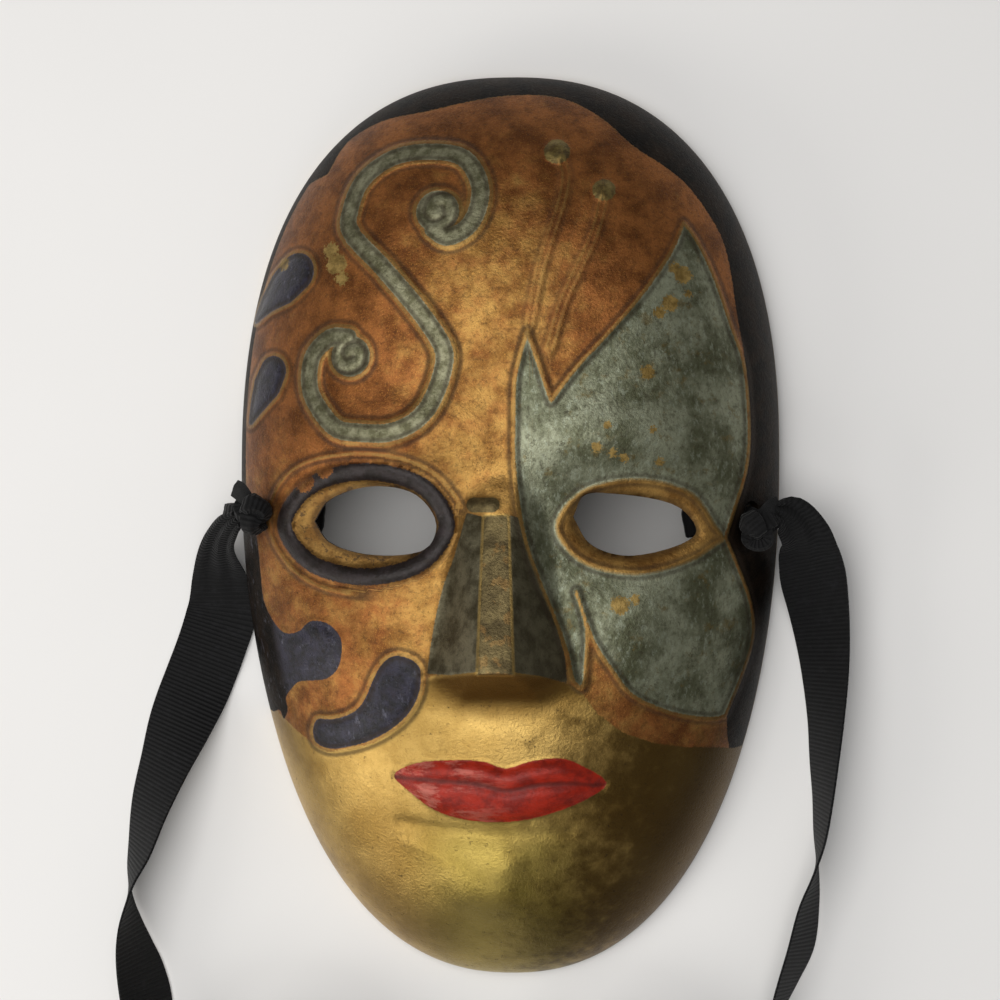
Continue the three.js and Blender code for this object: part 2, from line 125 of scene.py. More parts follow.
def even_steps(line: Array, step: float) -> Array:
    """Respaces a line so that its points are equally far apart in its first three coordinates.

    Args:
        line: the line's points, with anything else after X, Y and Z.
        step: about how far apart the new points are.

    Returns:
        The new points, one row each.
    """
    lengths = np.linalg.norm(np.diff(line[:, :3], axis=0), axis=1)
    run = np.concatenate([[0.0], np.cumsum(lengths)])
    count = max(int(round(run[-1] / step)), 2)
    wanted = np.linspace(0.0, run[-1], count + 1)
    return np.stack([np.interp(wanted, run, line[:, k]) for k in range(line.shape[1])], axis=1)


def line_distance(x: Array, y: Array, line: Array, closed: bool = False) -> Array:
    """Gives each place's distance from a line of points.

    Args:
        x: each place's X.
        y: each place's Y.
        line: the line's points.
        closed: whether the line runs round to its first point.

    Returns:
        Each place's distance.
    """
    nearest = np.full(x.shape, 1e9)
    count = len(line)
    for i in range(count if closed else count - 1):
        (ax, ay), (bx, by) = line[i][:2], line[(i + 1) % count][:2]
        dx, dy = bx - ax, by - ay
        share = np.clip(((x - ax) * dx + (y - ay) * dy) / max(dx * dx + dy * dy, 1e-12), 0, 1)
        nearest = np.minimum(nearest, np.hypot(x - ax - share * dx, y - ay - share * dy))
    return nearest


def inside_distance(x: Array, y: Array, outline: Array) -> Array:
    """Gives each place's distance from a closed outline, positive inside it.

    Args:
        x: each place's X.
        y: each place's Y.
        outline: the outline's points.

    Returns:
        Each place's distance.
    """
    within = np.zeros(x.shape, bool)
    count = len(outline)
    for i in range(count):
        (ax, ay), (bx, by) = outline[i][:2], outline[(i + 1) % count][:2]
        if ay != by:
            crossed = (ay > y) != (by > y)
            within ^= crossed & (x < (bx - ax) * (y - ay) / (by - ay) + ax)
    distance = line_distance(x, y, outline, closed=True)
    return np.where(within, distance, -distance)


def spots_distance(x: Array, y: Array, spots: Spots) -> Array:
    """Gives the distance inside the nearest of some round spots, each a centre and a radius.

    Args:
        x: each place's X.
        y: each place's Y.
        spots: each spot's centre and radius.

    Returns:
        Each place's distance.
    """
    deepest = np.full(x.shape, -1e9)
    for (cx, cy), radius in spots:
        deepest = np.maximum(deepest, radius - np.hypot(x - cx, y - cy))
    return deepest


def stem_offset(x: Array, y: Array, stem: Points) -> Array:
    """Gives how far each place is to the right of an upright stem, and far away past its ends.

    Args:
        x: each place's X.
        y: each place's Y.
        stem: the stem's points, from its foot up.

    Returns:
        Each place's offset.
    """
    line = smooth_line(stem)
    lean = (line[-1, 0] - line[0, 0]) / (line[-1, 1] - line[0, 1])
    offset = (x - np.interp(y, line[:, 1], line[:, 0])) / math.hypot(1, lean)
    past = np.maximum(np.maximum(line[0, 1] - y, y - line[-1, 1]), 0)
    return offset + np.where(offset < 0, -1, 1) * past * 0.6


def cornered_outline(points: Points, corners: Sequence[int]) -> Array:
    """Draws a closed outline that is smooth except at its corners, the first point being one.

    Args:
        points: the outline's points.
        corners: which of them are corners.

    Returns:
        The outline's points, closely spaced.
    """
    rounded = [*points, points[0]]
    stops = [*corners, len(points)]
    runs = [smooth_line(rounded[a : b + 1], per_span=4)[:-1] for a, b in zip(stops, stops[1:])]
    return np.vstack(runs)


def drop_distance(x: Array, y: Array, spine: Points, radii: Sequence[float]) -> Array:
    """Gives the distance inside a tapering drop with a spine and a radius at each end or knot.

    Args:
        x: each place's X.
        y: each place's Y.
        spine: the points down the drop's middle.
        radii: the drop's radius, spread evenly along the spine.

    Returns:
        Each place's distance.
    """
    line = smooth_line(spine, per_span=8)
    along = np.linspace(0, 1, len(line))
    sizes = np.interp(along, np.linspace(0, 1, len(radii)), radii)
    return spots_distance(x, y, list(zip(line, sizes)))


def ridge(distance: Array, width: float) -> Array:
    """Gives a rounded ridge, 1 where the distance is 0."""
    return np.exp(-((distance / width) ** 2))


def ease(low: float, high: float, value: Array) -> Array:
    """Turns smoothly from 0 at low to 1 at high."""
    t = np.clip((value - low) / (high - low), 0, 1)
    return t * t * (3 - 2 * t)


def smooth_max(a: Array, b: Array, blend: Array) -> Array:
    """Gives the larger of two heights, with a fillet where they cross."""
    near = np.maximum(blend - np.abs(a - b), 0) / blend
    return np.maximum(a, b) + near * near * blend / 4


# ---- The face's smooth form -----------------------------------------------------------------
@dataclass(frozen=True)
class FaceForm:
    """The domed face, its sockets, brows, cheeks, muzzle, chin and nose, in millimetres.

    Attributes:
        width: how wide the face is.
        crown_reach: how far the crown is from the widest line.
        chin_reach: how far the chin is from the widest line.
        depth: how high the dome is without the nose.
        wall: how thick the brass is.
        power_up: how square the outline's upper half is, 2 being an ellipse.
        power_down: the same for its lower half.
        dome_power: how flat the dome's top is.
        dome_shoulder: how round the dome's shoulder is.
        arch: how high the rim rises at the temples.
        arch_y: where the rim rises most.
        arch_half: how far that arch reaches to each side.
        tie_inset: how far each tie hole is inside the widest part of the rim.
        ridge_edge: the nose's corners from the bridge down, each half its width, its Y and its Z.
        bridge_fall: how steeply the bridge falls away towards the brow.
    """

    width: float = 122.8
    crown_reach: float = 85.6
    chin_reach: float = 120.0
    depth: float = 38.0
    wall: float = 1.6
    power_up: float = 2.35
    power_down: float = 2.25
    dome_power: float = 2.8
    dome_shoulder: float = 0.6
    arch: float = 4.5
    arch_y: float = 3.0
    arch_half: float = 55.0
    tie_inset: float = 6.9
    ridge_edge: tuple[tuple[float, float, float], ...] = (
        (2.6, 7.5, 39.6),
        (7.6, 6.0, 36.6),
        (3.7, -30.5, 51.5),
        (18.5, -33.0, 33.5),
        (8.5, -37.5, 33.5),
    )
    bridge_fall: float = 0.9

    @property
    def widest_y(self) -> float:
        """The Y of the widest line."""
        return (self.chin_reach - self.crown_reach) / 2

    def rim_ratio(self, x: Array, y: Array, inset: float = 0.0) -> Array:
        """Gives 0 at the middle of the widest line and 1 on the outline.

        Args:
            x: each place's X.
            y: each place's Y.
            inset: how far inside the outer surface, in millimetres.

        Returns:
            Each place's ratio.
        """
        above = y >= self.widest_y
        reach = np.where(above, self.crown_reach, self.chin_reach) - inset
        power = np.where(above, self.power_up, self.power_down)
        across = np.abs(x / (self.width / 2 - inset)) ** power
        return (across + np.abs((y - self.widest_y) / reach) ** power) ** (1 / power)

    def rim_lift(self, y: Array) -> Array:
        """Gives the rim's height off the table, arched at the temples."""
        away = np.minimum(np.abs(y - self.arch_y) / self.arch_half, 1)
        return self.arch * np.cos(away * math.pi / 2) ** 2

    def dome(self, x: Array, y: Array, inset: float = 0.0) -> Array:
        """Gives the height of the face without its nose.

        Args:
            x: each place's X.
            y: each place's Y.
            inset: how far inside the outer surface, in millimetres.

        Returns:
            Each place's height.
        """
        ratio = np.minimum(self.rim_ratio(x, y, inset), 1)
        lift = self.rim_lift(y)
        side = np.abs(x)

        def bump(across: Array, cx: float, cy: float, sx: float, sy: float) -> Array:
            """Gives a soft swelling, 1 at its middle."""
            return np.exp(-(((across - cx) / sx) ** 2) - ((y - cy) / sy) ** 2)

        height = lift + (self.depth - inset - lift) * (1 - ratio**self.dome_power) ** self.dome_shoulder
        height = height - 4.5 * bump(side, 27, 1, 16, 11) + 2 * bump(side, 22, 19, 20, 8)
        height = height + 2 * bump(side, 30, -26, 14, 16) + 3 * bump(x, 0, -54, 24, 14)
        return height + 4 * bump(x, 0, -80, 16, 11)

    def nose(self, x: Array, y: Array, inset: float = 0.0) -> Array:
        """Gives the height of the nose's wedge: a flat ridge, two flanks and an underside.

        Args:
            x: each place's X.
            y: each place's Y.
            inset: how far inside the outer surface, in millimetres.

        Returns:
            Each place's height.
        """
        corners = []
        for half, along, high in self.ridge_edge:
            narrowed = max(half - inset * 0.6, 0.8)
            moved = along + inset if along < 0 else along - inset
            corners += [(narrowed, moved, high - inset), (-narrowed, moved, high - inset)]
        spots = np.array(corners)
        planes = []
        for i in range(len(spots)):
            for j in range(i):
                for k in range(j):
                    trio = spots[[i, j, k]]
                    flat = np.c_[trio[:, :2], np.ones(3)]
                    if abs(np.linalg.det(flat)) < 1e-6:
                        continue
                    plane = np.linalg.solve(flat, trio[:, 2])
                    if np.all(np.c_[spots[:, :2], np.ones(len(spots))] @ plane >= spots[:, 2] - 1e-6):
                        planes.append(plane)
        bridge = self.ridge_edge[0]
        foot = bridge[2] + self.bridge_fall * (bridge[1] + 0.6)
        planes.append(np.array([0.0, -self.bridge_fall, foot]))
        softness = 0.3
        level = 40  # a height near the nose's own, which keeps the powers below in range
        total = sum(np.exp(-(a * x + b * y + c - level) / softness) for a, b, c in unique_rows(planes))
        return level - softness * np.log(np.maximum(total, 1e-300))

    def height(self, x: Array, y: Array, inset: float = 0.0) -> Array:
        """Gives the height of the whole smooth face."""
        fillet = 2.4 + 4.0 * ease(-29, -36, y)
        return smooth_max(self.dome(x, y, inset), self.nose(x, y, inset), fillet)

    def normal(self, x: float, y: float) -> Array:
        """Gives the dome's outward direction at a place.

        Args:
            x: the place's X.
            y: the place's Y.

        Returns:
            The direction, one unit long.
        """
        step = 0.05
        slope_x = (self.dome(x + step, y) - self.dome(x - step, y)) / (2 * step)
        slope_y = (self.dome(x, y + step) - self.dome(x, y - step)) / (2 * step)
        direction = np.array([-float(slope_x), -float(slope_y), 1.0])
        return direction / np.linalg.norm(direction)

    def place(self, u: Array, v: Array, inset: float = 0.0) -> tuple[Array, Array]:
        """Gives the X and Y of a square grid's place, laid out on the face's outline.

        Args:
            u: across the grid, -1 to 1.
            v: along the grid, -1 to 1.
            inset: how far inside the outer surface, in millimetres.

        Returns:
            The X and the Y.
        """
        disc_x = u * np.sqrt(1 - v * v / 2)
        disc_y = v * np.sqrt(1 - u * u / 2)
        radius = np.hypot(disc_x, disc_y)
        reach = np.where(v >= 0, self.crown_reach, self.chin_reach) - inset
        x = disc_x * (self.width / 2 - inset)
        y = self.widest_y + disc_y * reach
        ratio = np.maximum(self.rim_ratio(x, y, inset), 1e-9)
        drawn = np.minimum(1.12 * radius - 0.12 * radius**8, 1)
        scale = np.where(radius < 1e-9, 0.0, drawn / ratio)
        return x * scale, self.widest_y + (y - self.widest_y) * scale

    def rim_line(self, inset: float = 0.0, count: int = 240) -> Array:
        """Gives points round the outline, drawn in by an inset.

        Args:
            inset: how far inside the outer surface, in millimetres.
            count: how many points.

        Returns:
            The points, one row each.
        """
        turn = np.linspace(0, 2 * math.pi, count, endpoint=False)
        x = np.cos(turn) * (self.width / 2 - inset)
        up = np.where(np.sin(turn) >= 0, self.crown_reach, self.chin_reach) - inset
        y = self.widest_y + np.sin(turn) * up
        ratio = self.rim_ratio(x, y, inset)
        return np.stack([x / ratio, self.widest_y + (y - self.widest_y) / ratio], axis=1)


def unique_rows(rows: Sequence[Array]) -> list[Array]:
    """Drops rows that repeat an earlier one.

    Args:
        rows: the rows.

    Returns:
        The rows that differ.
    """
    kept: list[Array] = []
    for row in rows:
        if all(np.abs(row - other).max() > 1e-6 for other in kept):
            kept.append(row)
    return kept


# ---- The ornament ---------------------------------------------------------------------------
LEFT_EYE: Points = (
    (-41.2, 1.1), (-38.1, 5.5), (-28.3, 8.7), (-18.3, 6.9),
    (-13.8, 0.8), (-15.6, -4.5), (-27.9, -6.2), (-38.1, -3.3),
)
RIGHT_EYE: Points = (
    (15.7, 2.1), (18.0, 6.7), (24.2, 7.1), (38.7, 4.0),
    (42.2, -1.5), (28.1, -6.3), (19.3, -3.7),
)
LEFT_RING: Points = (
    (-9.3, 0.5), (-15.0, 10.0), (-28.9, 13.9), (-43.7, 10.1),
    (-50.4, 0.4), (-43.8, -9.2), (-29.0, -12.9), (-15.0, -8.9),
)
RIGHT_RING: Points = (
    (48.2, -2.7), (46.3, 0.2), (41.2, 7.1), (29.1, 10.1), (17.1, 7.1), (12.2, 0.0),
    (17.1, -7.1), (29.1, -10.1), (41.2, -7.2), (46.3, -4.0),
)
SCROLL: Points = (
    (-14.6, 64.4), (-11.6, 62.6), (-7.2, 64.7), (-4.8, 69.7), (-4.9, 75.0), (-8.5, 80.6),
    (-15.3, 82.3), (-24.5, 81.3), (-31.4, 76.1), (-33.6, 69.9), (-33.8, 65.4), (-25.6, 56.1),
    (-16.4, 45.2), (-12.0, 38.0), (-11.9, 34.7), (-14.9, 26.1), (-18.5, 22.3), (-23.7, 20.2),
    (-29.7, 20.2), (-35.3, 21.1), (-39.0, 24.7), (-41.8, 29.5), (-42.1, 34.2), (-41.0, 37.9),
    (-37.0, 41.2), (-33.2, 41.0),
)
SCROLL_HALF = 2.45
SCROLL_EYES = (((-13.8, 68.4), 5.2), ((-32.6, 36.9), 4.9))
CURLS: tuple[Points, ...] = (
    ((-11.2, 64.8), (-8.6, 67.6), (-9.2, 71.2), (-12.4, 72.8), (-15.8, 71.4), (-16.8, 68.2),
     (-14.8, 66.2), (-12.4, 67.4), (-12.8, 69.6)),
    ((-37.4, 38.4), (-36.6, 34.6), (-33.2, 33.2), (-29.9, 34.9), (-29.4, 38.3), (-32.0, 40.0),
     (-34.4, 38.4), (-33.8, 36.4), (-32.0, 36.8)),
)
WING: Points = (
    (39.6, 66.6), (37.0, 60.2), (32.8, 53.4), (28.6, 47.7), (22.0, 40.1), (16.8, 34.4),
    (11.1, 26.9), (5.9, 41.9), (3.4, 31.5), (3.2, 22.6), (3.2, 13.9), (4.3, 4.3),
    (6.0, -3.7), (9.0, -12.2), (12.5, -21.0), (14.7, -27.6), (16.0, -33.2), (17.7, -34.6),
    (18.5, -28.8), (18.6, -21.4), (16.4, -13.8), (20.2, -24.5), (24.3, -31.0), (28.1, -36.0),
    (33.9, -39.3), (39.6, -41.3), (46.5, -42.4), (48.8, -42.1), (53.3, -31.2), (55.1, -24.3),
    (54.5, -17.5), (49.8, -5.1), (48.6, -2.5), (50.8, 4.3), (53.0, 11.4), (53.9, 18.5),
    (53.7, 27.0), (52.6, 36.6), (49.9, 44.2), (47.7, 50.8), (45.4, 56.7), (42.3, 62.9),
)
WING_CORNERS = (0, 6, 7, 20, 27, 32)
LEFT_ANTENNA: Points = ((6.4, 43.2), (8.4, 54.3), (10.5, 61.8), (13.2, 71.0), (13.9, 76.7), (13.0, 80.0))
RIGHT_ANTENNA: Points = (
    (10.7, 37.9), (13.4, 47.6), (16.7, 55.2), (19.7, 61.9), (21.4, 67.5), (22.0, 71.0),
)
ANTENNA_DOTS = (((11.9, 82.0), 3.1), ((22.2, 73.2), 2.7))
FIELD_EDGE: Points = (
    (-40.2, 79.1), (-36.2, 86.9), (-27.9, 91.2), (-18.3, 92.6), (-9.4, 94.5), (-0.3, 96.2),
    (12.1, 95.7), (21.6, 90.5), (28.4, 84.1), (35.2, 79.7), (39.7, 76.3), (44.1, 70.8),
    (47.9, 64.4), (49.7, 58.0), (51.3, 46.6), (53.1, 36.2), (54.0, 18.5), (53.2, 11.4),
    (51.0, 4.3), (48.9, -1.9), (50.0, -5.1), (54.7, -17.5), (55.3, -24.3), (53.5, -31.2),
    (49.2, -42.1), (51.6, -55.7), (56.0, -62.0),
)
LEFT_SHADE: Points = (
    (-66.0, 2.0), (-56.6, -1.0), (-55.7, -3.2), (-54.9, -10.0), (-54.2, -16.6), (-51.8, -21.0),
    (-48.7, -23.7), (-44.9, -23.1), (-42.3, -20.9), (-38.4, -20.9), (-35.2, -23.4), (-34.5, -26.8),
    (-35.8, -31.2), (-38.6, -33.4), (-42.5, -34.0), (-45.6, -34.6), (-47.6, -36.4), (-49.2, -38.6),
    (-48.9, -41.4), (-50.2, -43.8), (-51.4, -41.6), (-53.4, -42.4), (-66.0, -40.0),
)
SHADE_CORNERS = (0, 19, 22)
LOWER_DROP: Points = (
    (-20.9, -27.5), (-17.2, -29.6), (-16.6, -33.4), (-18.2, -38.6), (-21.8, -42.9), (-28.0, -46.8),
    (-34.0, -48.8), (-38.9, -49.5), (-42.1, -48.2), (-42.8, -45.4), (-41.4, -42.3), (-37.5, -42.0),
    (-32.2, -40.0), (-29.6, -36.8), (-28.1, -33.4), (-25.8, -29.4), (-23.4, -27.6),
)
DROPS = (
    (((-46.4, 56.2), (-49.4, 53.6), (-53.2, 50.6), (-57.0, 47.0)), (5.0, 4.9, 3.2, 1.6)),
    (((-51.6, 34.2), (-53.0, 31.4), (-55.0, 28.0), (-57.4, 23.4)), (4.0, 4.2, 3.0, 1.2)),
)
LIPS: Points = (
    (-23.6, -54.3), (-18.9, -51.4), (-9.5, -50.3), (-3.6, -50.5), (1.3, -52.0), (6.2, -50.5),
    (13.1, -49.8), (17.2, -51.3), (22.9, -55.6), (18.6, -59.0), (8.8, -62.7), (0.9, -64.0),
    (-9.0, -63.4), (-14.9, -61.4), (-20.4, -57.4),
)
MOUTH: Points = (
    (-21.5, -54.6), (-12.0, -54.9), (-5.0, -55.3), (1.3, -56.7), (8.0, -55.5), (15.0, -55.3),
    (20.6, -55.9),
)
CREASE: Points = ((-22.5, -64.8), (-14.0, -65.8), (-5.8, -66.2), (5.0, -66.7), (14.9, -66.5))
CHIN_SHIELD: Points = (
    (-23.4, -68.7), (-18.9, -74.0), (-14.8, -80.7), (-9.9, -86.1), (-0.5, -87.3),
    (4.7, -82.8), (5.8, -71.2), (-4.0, -68.0),
)
BARE_CHIN: Points = (
    (-90.0, -41.0), (-52.0, -42.0), (-47.0, -45.6), (-42.4, -48.6), (-38.9, -49.9), (-28.0, -47.2),
    (-21.1, -42.7), (-16.4, -36.1), (-15.5, -32.4), (-10.0, -30.4), (0.0, -29.6), (9.0, -30.9),
    (16.2, -34.4), (18.2, -36.3), (21.0, -40.3), (26.4, -44.5), (32.8, -47.0), (39.6, -48.3),
    (46.6, -49.0), (51.0, -50.0), (90.0, -50.0), (90.0, -150.0), (-90.0, -150.0),
)
LEFT_FLANK: Points = (
    (-7.0, 3.0), (-9.8, -6.7), (-12.0, -12.3), (-13.7, -19.0), (-15.0, -26.5), (-15.6, -31.6),
    (-10.1, -31.4), (-6.3, -30.6), (-3.8, -30.2), (-3.3, 2.2),
)
RIDGE_STRIP: Points = ((-3.3, 2.6), (-3.9, -31.0), (3.9, -31.0), (2.2, 2.6))
RIGHT_FLANK: Points = (
    (2.2, 2.6), (3.9, -30.2), (9.1, -31.4), (14.6, -33.6), (14.0, -27.4), (12.4, -21.8),
    (9.0, -12.2), (5.6, -3.4), (4.2, 2.0),
)
NOSE_BAR = ((-3.4, 4.7), 7.4, 3.2)
CHIPS = (
    ((-36.4, 57.4), 2.3), ((-37.8, 60.6), 1.8), ((-35.0, 54.2), 1.5), ((-49.8, 58.6), 1.4),
    ((39.4, 54.7), 1.9), ((37.4, 56.2), 1.2), ((36.5, 48.4), 1.8), ((34.2, 46.2), 1.3),
    ((31.7, 33.2), 1.6), ((23.2, 21.7), 0.9), ((20.9, 17.1), 1.1), ((24.3, 15.8), 1.0),
    ((26.6, 14.7), 1.0), ((34.3, 13.9), 0.9), ((32.9, 20.8), 0.8), ((25.8, -16.8), 2.0),
    ((29.0, -15.6), 1.1), ((40.5, 50.5), 0.8),
)
RUBBED = (((-43.2, 9.6), 2.3), ((-38.4, 12.2), 1.7))


class Layer(Enum):
    """The painter's marked areas; each is a distance that is positive inside the area."""

    SCROLL = "scroll"
    CURL = "curl"
    WING = "wing"
    FIELD = "field"
    SHADE = "shade"
    DROP = "drop"
    LEFT_RING = "left_ring"
    RIGHT_RING = "right_ring"
    LEFT_EYE = "left_eye"
    RIGHT_EYE = "right_eye"
    LIPS = "lips"
    MOUTH = "mouth"
    ANTENNA = "antenna"
    DOT = "dot"
    LINE = "line"
    CHIN = "chin"
    FLANK = "flank"
    RIDGE = "ridge"
    BAR = "bar"
    CHIP = "chip"
    RUBBED = "rubbed"
    RIM = "rim"


@dataclass
class Ornament:
    """The raised and painted ornament, as distances over the face.

    Attributes:
        form: the smooth face that it stands on.
    """

    form: FaceForm

    def field_outline(self) -> Array:
        """Gives the closed edge of the painted field: inside the border at the crown and right."""
        rim = self.form.rim_line(inset=2.3)
        left = [p for p in rim if p[0] < -40.0 and -60.0 < p[1] < 78.5]
        left.sort(key=lambda p: p[1])
        below = [(56.0, -140.0), (-56.0, -140.0)]
        return np.vstack([smooth_line(FIELD_EDGE, per_span=3), below, np.array(left)])

    def distances(self, x: Array, y: Array) -> dict[Layer, Array]:
        """Works out each layer's distance at each place, in millimetres.

        Args:
            x: each place's X.
            y: each place's Y.

        Returns:
            The distances, by layer.
        """
        scroll = SCROLL_HALF - line_distance(x, y, smooth_line(SCROLL, per_span=4))
        scroll = np.maximum(scroll, spots_distance(x, y, SCROLL_EYES))
        curl = np.minimum(*[line_distance(x, y, smooth_line(points, per_span=3)) for points in CURLS])
        drop = inside_distance(x, y, smooth_line(LOWER_DROP, closed=True, per_span=3))
        for spine, radii in DROPS:
            drop = np.maximum(drop, drop_distance(x, y, spine, radii))
        flank = np.maximum(
            inside_distance(x, y, np.array(LEFT_FLANK)), inside_distance(x, y, np.array(RIGHT_FLANK))
        )
        (bar_x, bar_y), bar_long, bar_high = NOSE_BAR
        half = bar_high / 2
        reach = np.maximum(np.abs(x - bar_x) - (bar_long / 2 - half), 0)
        left_stem = stem_offset(x, y, LEFT_ANTENNA)
        right_stem = stem_offset(x, y, RIGHT_ANTENNA)
        antenna = np.where(np.abs(right_stem) < np.abs(left_stem), right_stem, left_stem)
        seam = smooth_line(MOUTH)
        left_ring = inside_distance(x, y, smooth_line(LEFT_RING, closed=True))
        lens = 1.7 + 1.9 * np.exp(-(((x + 45) / 11) ** 2) - ((y - 9) / 8) ** 2)
        brow = np.maximum(-left_ring - lens, 0.22 * np.minimum(x + 34, 14 - y * 3.0))
        brow = np.where(left_ring > -0.9, -1.5, brow)
        return {
            Layer.SCROLL: scroll,
            Layer.CURL: curl,
            Layer.WING: inside_distance(x, y, cornered_outline(WING, WING_CORNERS)),
            Layer.FIELD: inside_distance(x, y, self.field_outline()),
            Layer.SHADE: inside_distance(x, y, cornered_outline(LEFT_SHADE, SHADE_CORNERS)),
            Layer.DROP: drop,
            Layer.LEFT_RING: left_ring,
            Layer.RIGHT_RING: inside_distance(x, y, smooth_line(RIGHT_RING, closed=True)),
            Layer.LEFT_EYE: inside_distance(x, y, smooth_line(LEFT_EYE, closed=True)),
            Layer.RIGHT_EYE: inside_distance(x, y, smooth_line(RIGHT_EYE, closed=True)),
            Layer.LIPS: inside_distance(x, y, smooth_line(LIPS, closed=True, per_span=3)),
            Layer.MOUTH: y - np.interp(x, seam[:, 0], seam[:, 1]),
            Layer.ANTENNA: antenna,
            Layer.DOT: spots_distance(x, y, ANTENNA_DOTS),
            Layer.LINE: brow,
            Layer.CHIN: inside_distance(x, y, np.array(BARE_CHIN)),
            Layer.FLANK: flank,
            Layer.RIDGE: inside_distance(x, y, np.array(RIDGE_STRIP)),
            Layer.BAR: half - np.hypot(reach, y - bar_y),
            Layer.CHIP: spots_distance(x, y, CHIPS),
            Layer.RUBBED: spots_distance(x, y, RUBBED),
            Layer.RIM: line_distance(x, y, self.form.rim_line(), closed=True),
        }

    def relief(self, x: Array, y: Array, near: dict[Layer, Array]) -> Array:
        """Gives how far the ornament stands above the smooth face, in millimetres.

        Args:
            x: each place's X.
            y: each place's Y.
            near: each layer's distances there.

        Returns:
            Each place's height above the form.
        """
        line = 0.75
        raised = 0.42 * ridge(near[Layer.SCROLL], line)
        raised = np.maximum(raised, 0.45 * ridge(near[Layer.WING], line))
        raised = np.maximum(raised, 0.4 * ridge(near[Layer.DROP], line))
        raised = np.maximum(raised, 0.32 * ridge(np.abs(near[Layer.ANTENNA]) - 0.7, 0.6))
        raised = np.maximum(raised, 0.4 * ridge(near[Layer.LINE], 0.7))
        raised = np.maximum(raised, 0.4 * ridge(near[Layer.RIGHT_RING], 0.8))
        shade_line = ridge(near[Layer.SHADE], line)
        raised = np.maximum(raised, 0.35 * shade_line * ease(0, 2, near[Layer.RIM] - 4))
        height = raised + 0.5 * ease(-0.3, 1.2, near[Layer.SCROLL]) - 0.4 * ridge(near[Layer.CURL], 0.65)
        height = height + 0.6 * ease(0, 2.5, near[Layer.DROP])
        height = height + 0.6 * ease(0, 2.5, near[Layer.SHADE]) * ease(4, 9, near[Layer.RIM])
        height = height + 0.9 * ease(-0.4, 1.8, near[Layer.DOT])
        tube = np.clip(1 - ((near[Layer.LEFT_RING] - 2.1) / 2.1) ** 2, 0, 1)
        height = height + 1.5 * np.sqrt(tube)
        band = np.clip(1 - ((near[Layer.RIGHT_RING] - 1.6) / 1.8) ** 2, 0, 1)
        height = height + 0.5 * np.sqrt(band)
        lips = near[Layer.LIPS]
        height = height + 2.4 * (1 - (1 - np.clip(lips / 4.2, 0, 1)) ** 2)
        height = height - 1.3 * ridge(near[Layer.MOUTH], 1.3) * ease(-0.6, 0.8, lips)
        crease = line_distance(x, y, smooth_line(CREASE))
        height = height - 0.4 * ridge(crease, 1.3)
        shield = inside_distance(x, y, smooth_line(CHIN_SHIELD, closed=True))
        height = height + 1.1 * ease(-1, 8, shield)
        height = height + 0.8 * ease(-0.6, 1.4, near[Layer.BAR])
        return height


# ---- Meshes ---------------------------------------------------------------------------------
def deselect() -> None:
    """Clears the selection, in object mode."""
    if bpy.context.object and bpy.context.object.mode != "OBJECT":
        bpy.ops.object.mode_set(mode="OBJECT")
    bpy.ops.object.select_all(action="DESELECT")


def pick(*objects: bpy.types.Object) -> None:
    """Selects objects and makes the first one active.

    Args:
        objects: what to select.
    """
    deselect()
    for each in objects:
        each.select_set(True)
    bpy.context.view_layer.objects.active = objects[0]


def read_places(piece: bpy.types.Object) -> Array:
    """Gives a mesh's vertex places, one row each."""
    flat = np.zeros(len(piece.data.vertices) * 3)
    piece.data.vertices.foreach_get("co", flat)
    return flat.reshape(-1, 3)


def write_places(piece: bpy.types.Object, places: Array) -> None:
    """Moves a mesh's vertices to new places."""
    piece.data.vertices.foreach_set("co", np.asarray(places, np.float32).ravel())
    piece.data.update()


def add_grid(name: str, columns: int, rows: int) -> tuple[bpy.types.Object, Array, Array]:
    """Makes a square grid.

    Args:
        name: the new piece's name.
        columns: how many faces it has across.
        rows: how many it has along.

    Returns:
        The new piece, and each vertex's place across and along the grid, from -1 to 1.
    """
    deselect()
    bpy.ops.mesh.primitive_grid_add(x_subdivisions=columns, y_subdivisions=rows, size=2)
    piece = bpy.context.object
    piece.name = name
    places = read_places(piece)
    return piece, np.clip(places[:, 0], -1, 1), np.clip(places[:, 1], -1, 1)


def add_prism(name: str, outline: Array, low: float, high: float) -> bpy.types.Object:
    """Makes an upright prism on an outline in millimetres, between two heights.

    Args:
        name: the new piece's name.
        outline: the outline's points.
        low: the height of its underside.
        high: the height of its top.

    Returns:
        The prism.
    """
    deselect()
    count = len(outline)
    bpy.ops.mesh.primitive_cylinder_add(vertices=count, radius=1, depth=2, end_fill_type="NGON")
    piece = bpy.context.object
    piece.name = name
    places = read_places(piece)
    turn = np.arctan2(places[:, 1], places[:, 0]) / (2 * math.pi) * count
    index = np.round(turn).astype(int) % count
    order = outline if polygon_area(outline) > 0 else outline[::-1]
    new = np.c_[order[index], np.where(places[:, 2] > 0, high, low)]
    write_places(piece, new * MM)
    return piece


def polygon_area(outline: Array) -> float:
    """Gives a polygon's area, positive if it runs anticlockwise."""
    x, y = outline[:, 0], outline[:, 1]
    return float(np.sum(x * np.roll(y, -1) - np.roll(x, -1) * y) / 2)


def add_layer(piece: bpy.types.Object, name: str, values: Array) -> None:
    """Stores one number for each vertex under a name."""
    attribute = piece.data.attributes.new(name, "FLOAT", "POINT")
    attribute.data.foreach_set("value", np.asarray(values, np.float32))


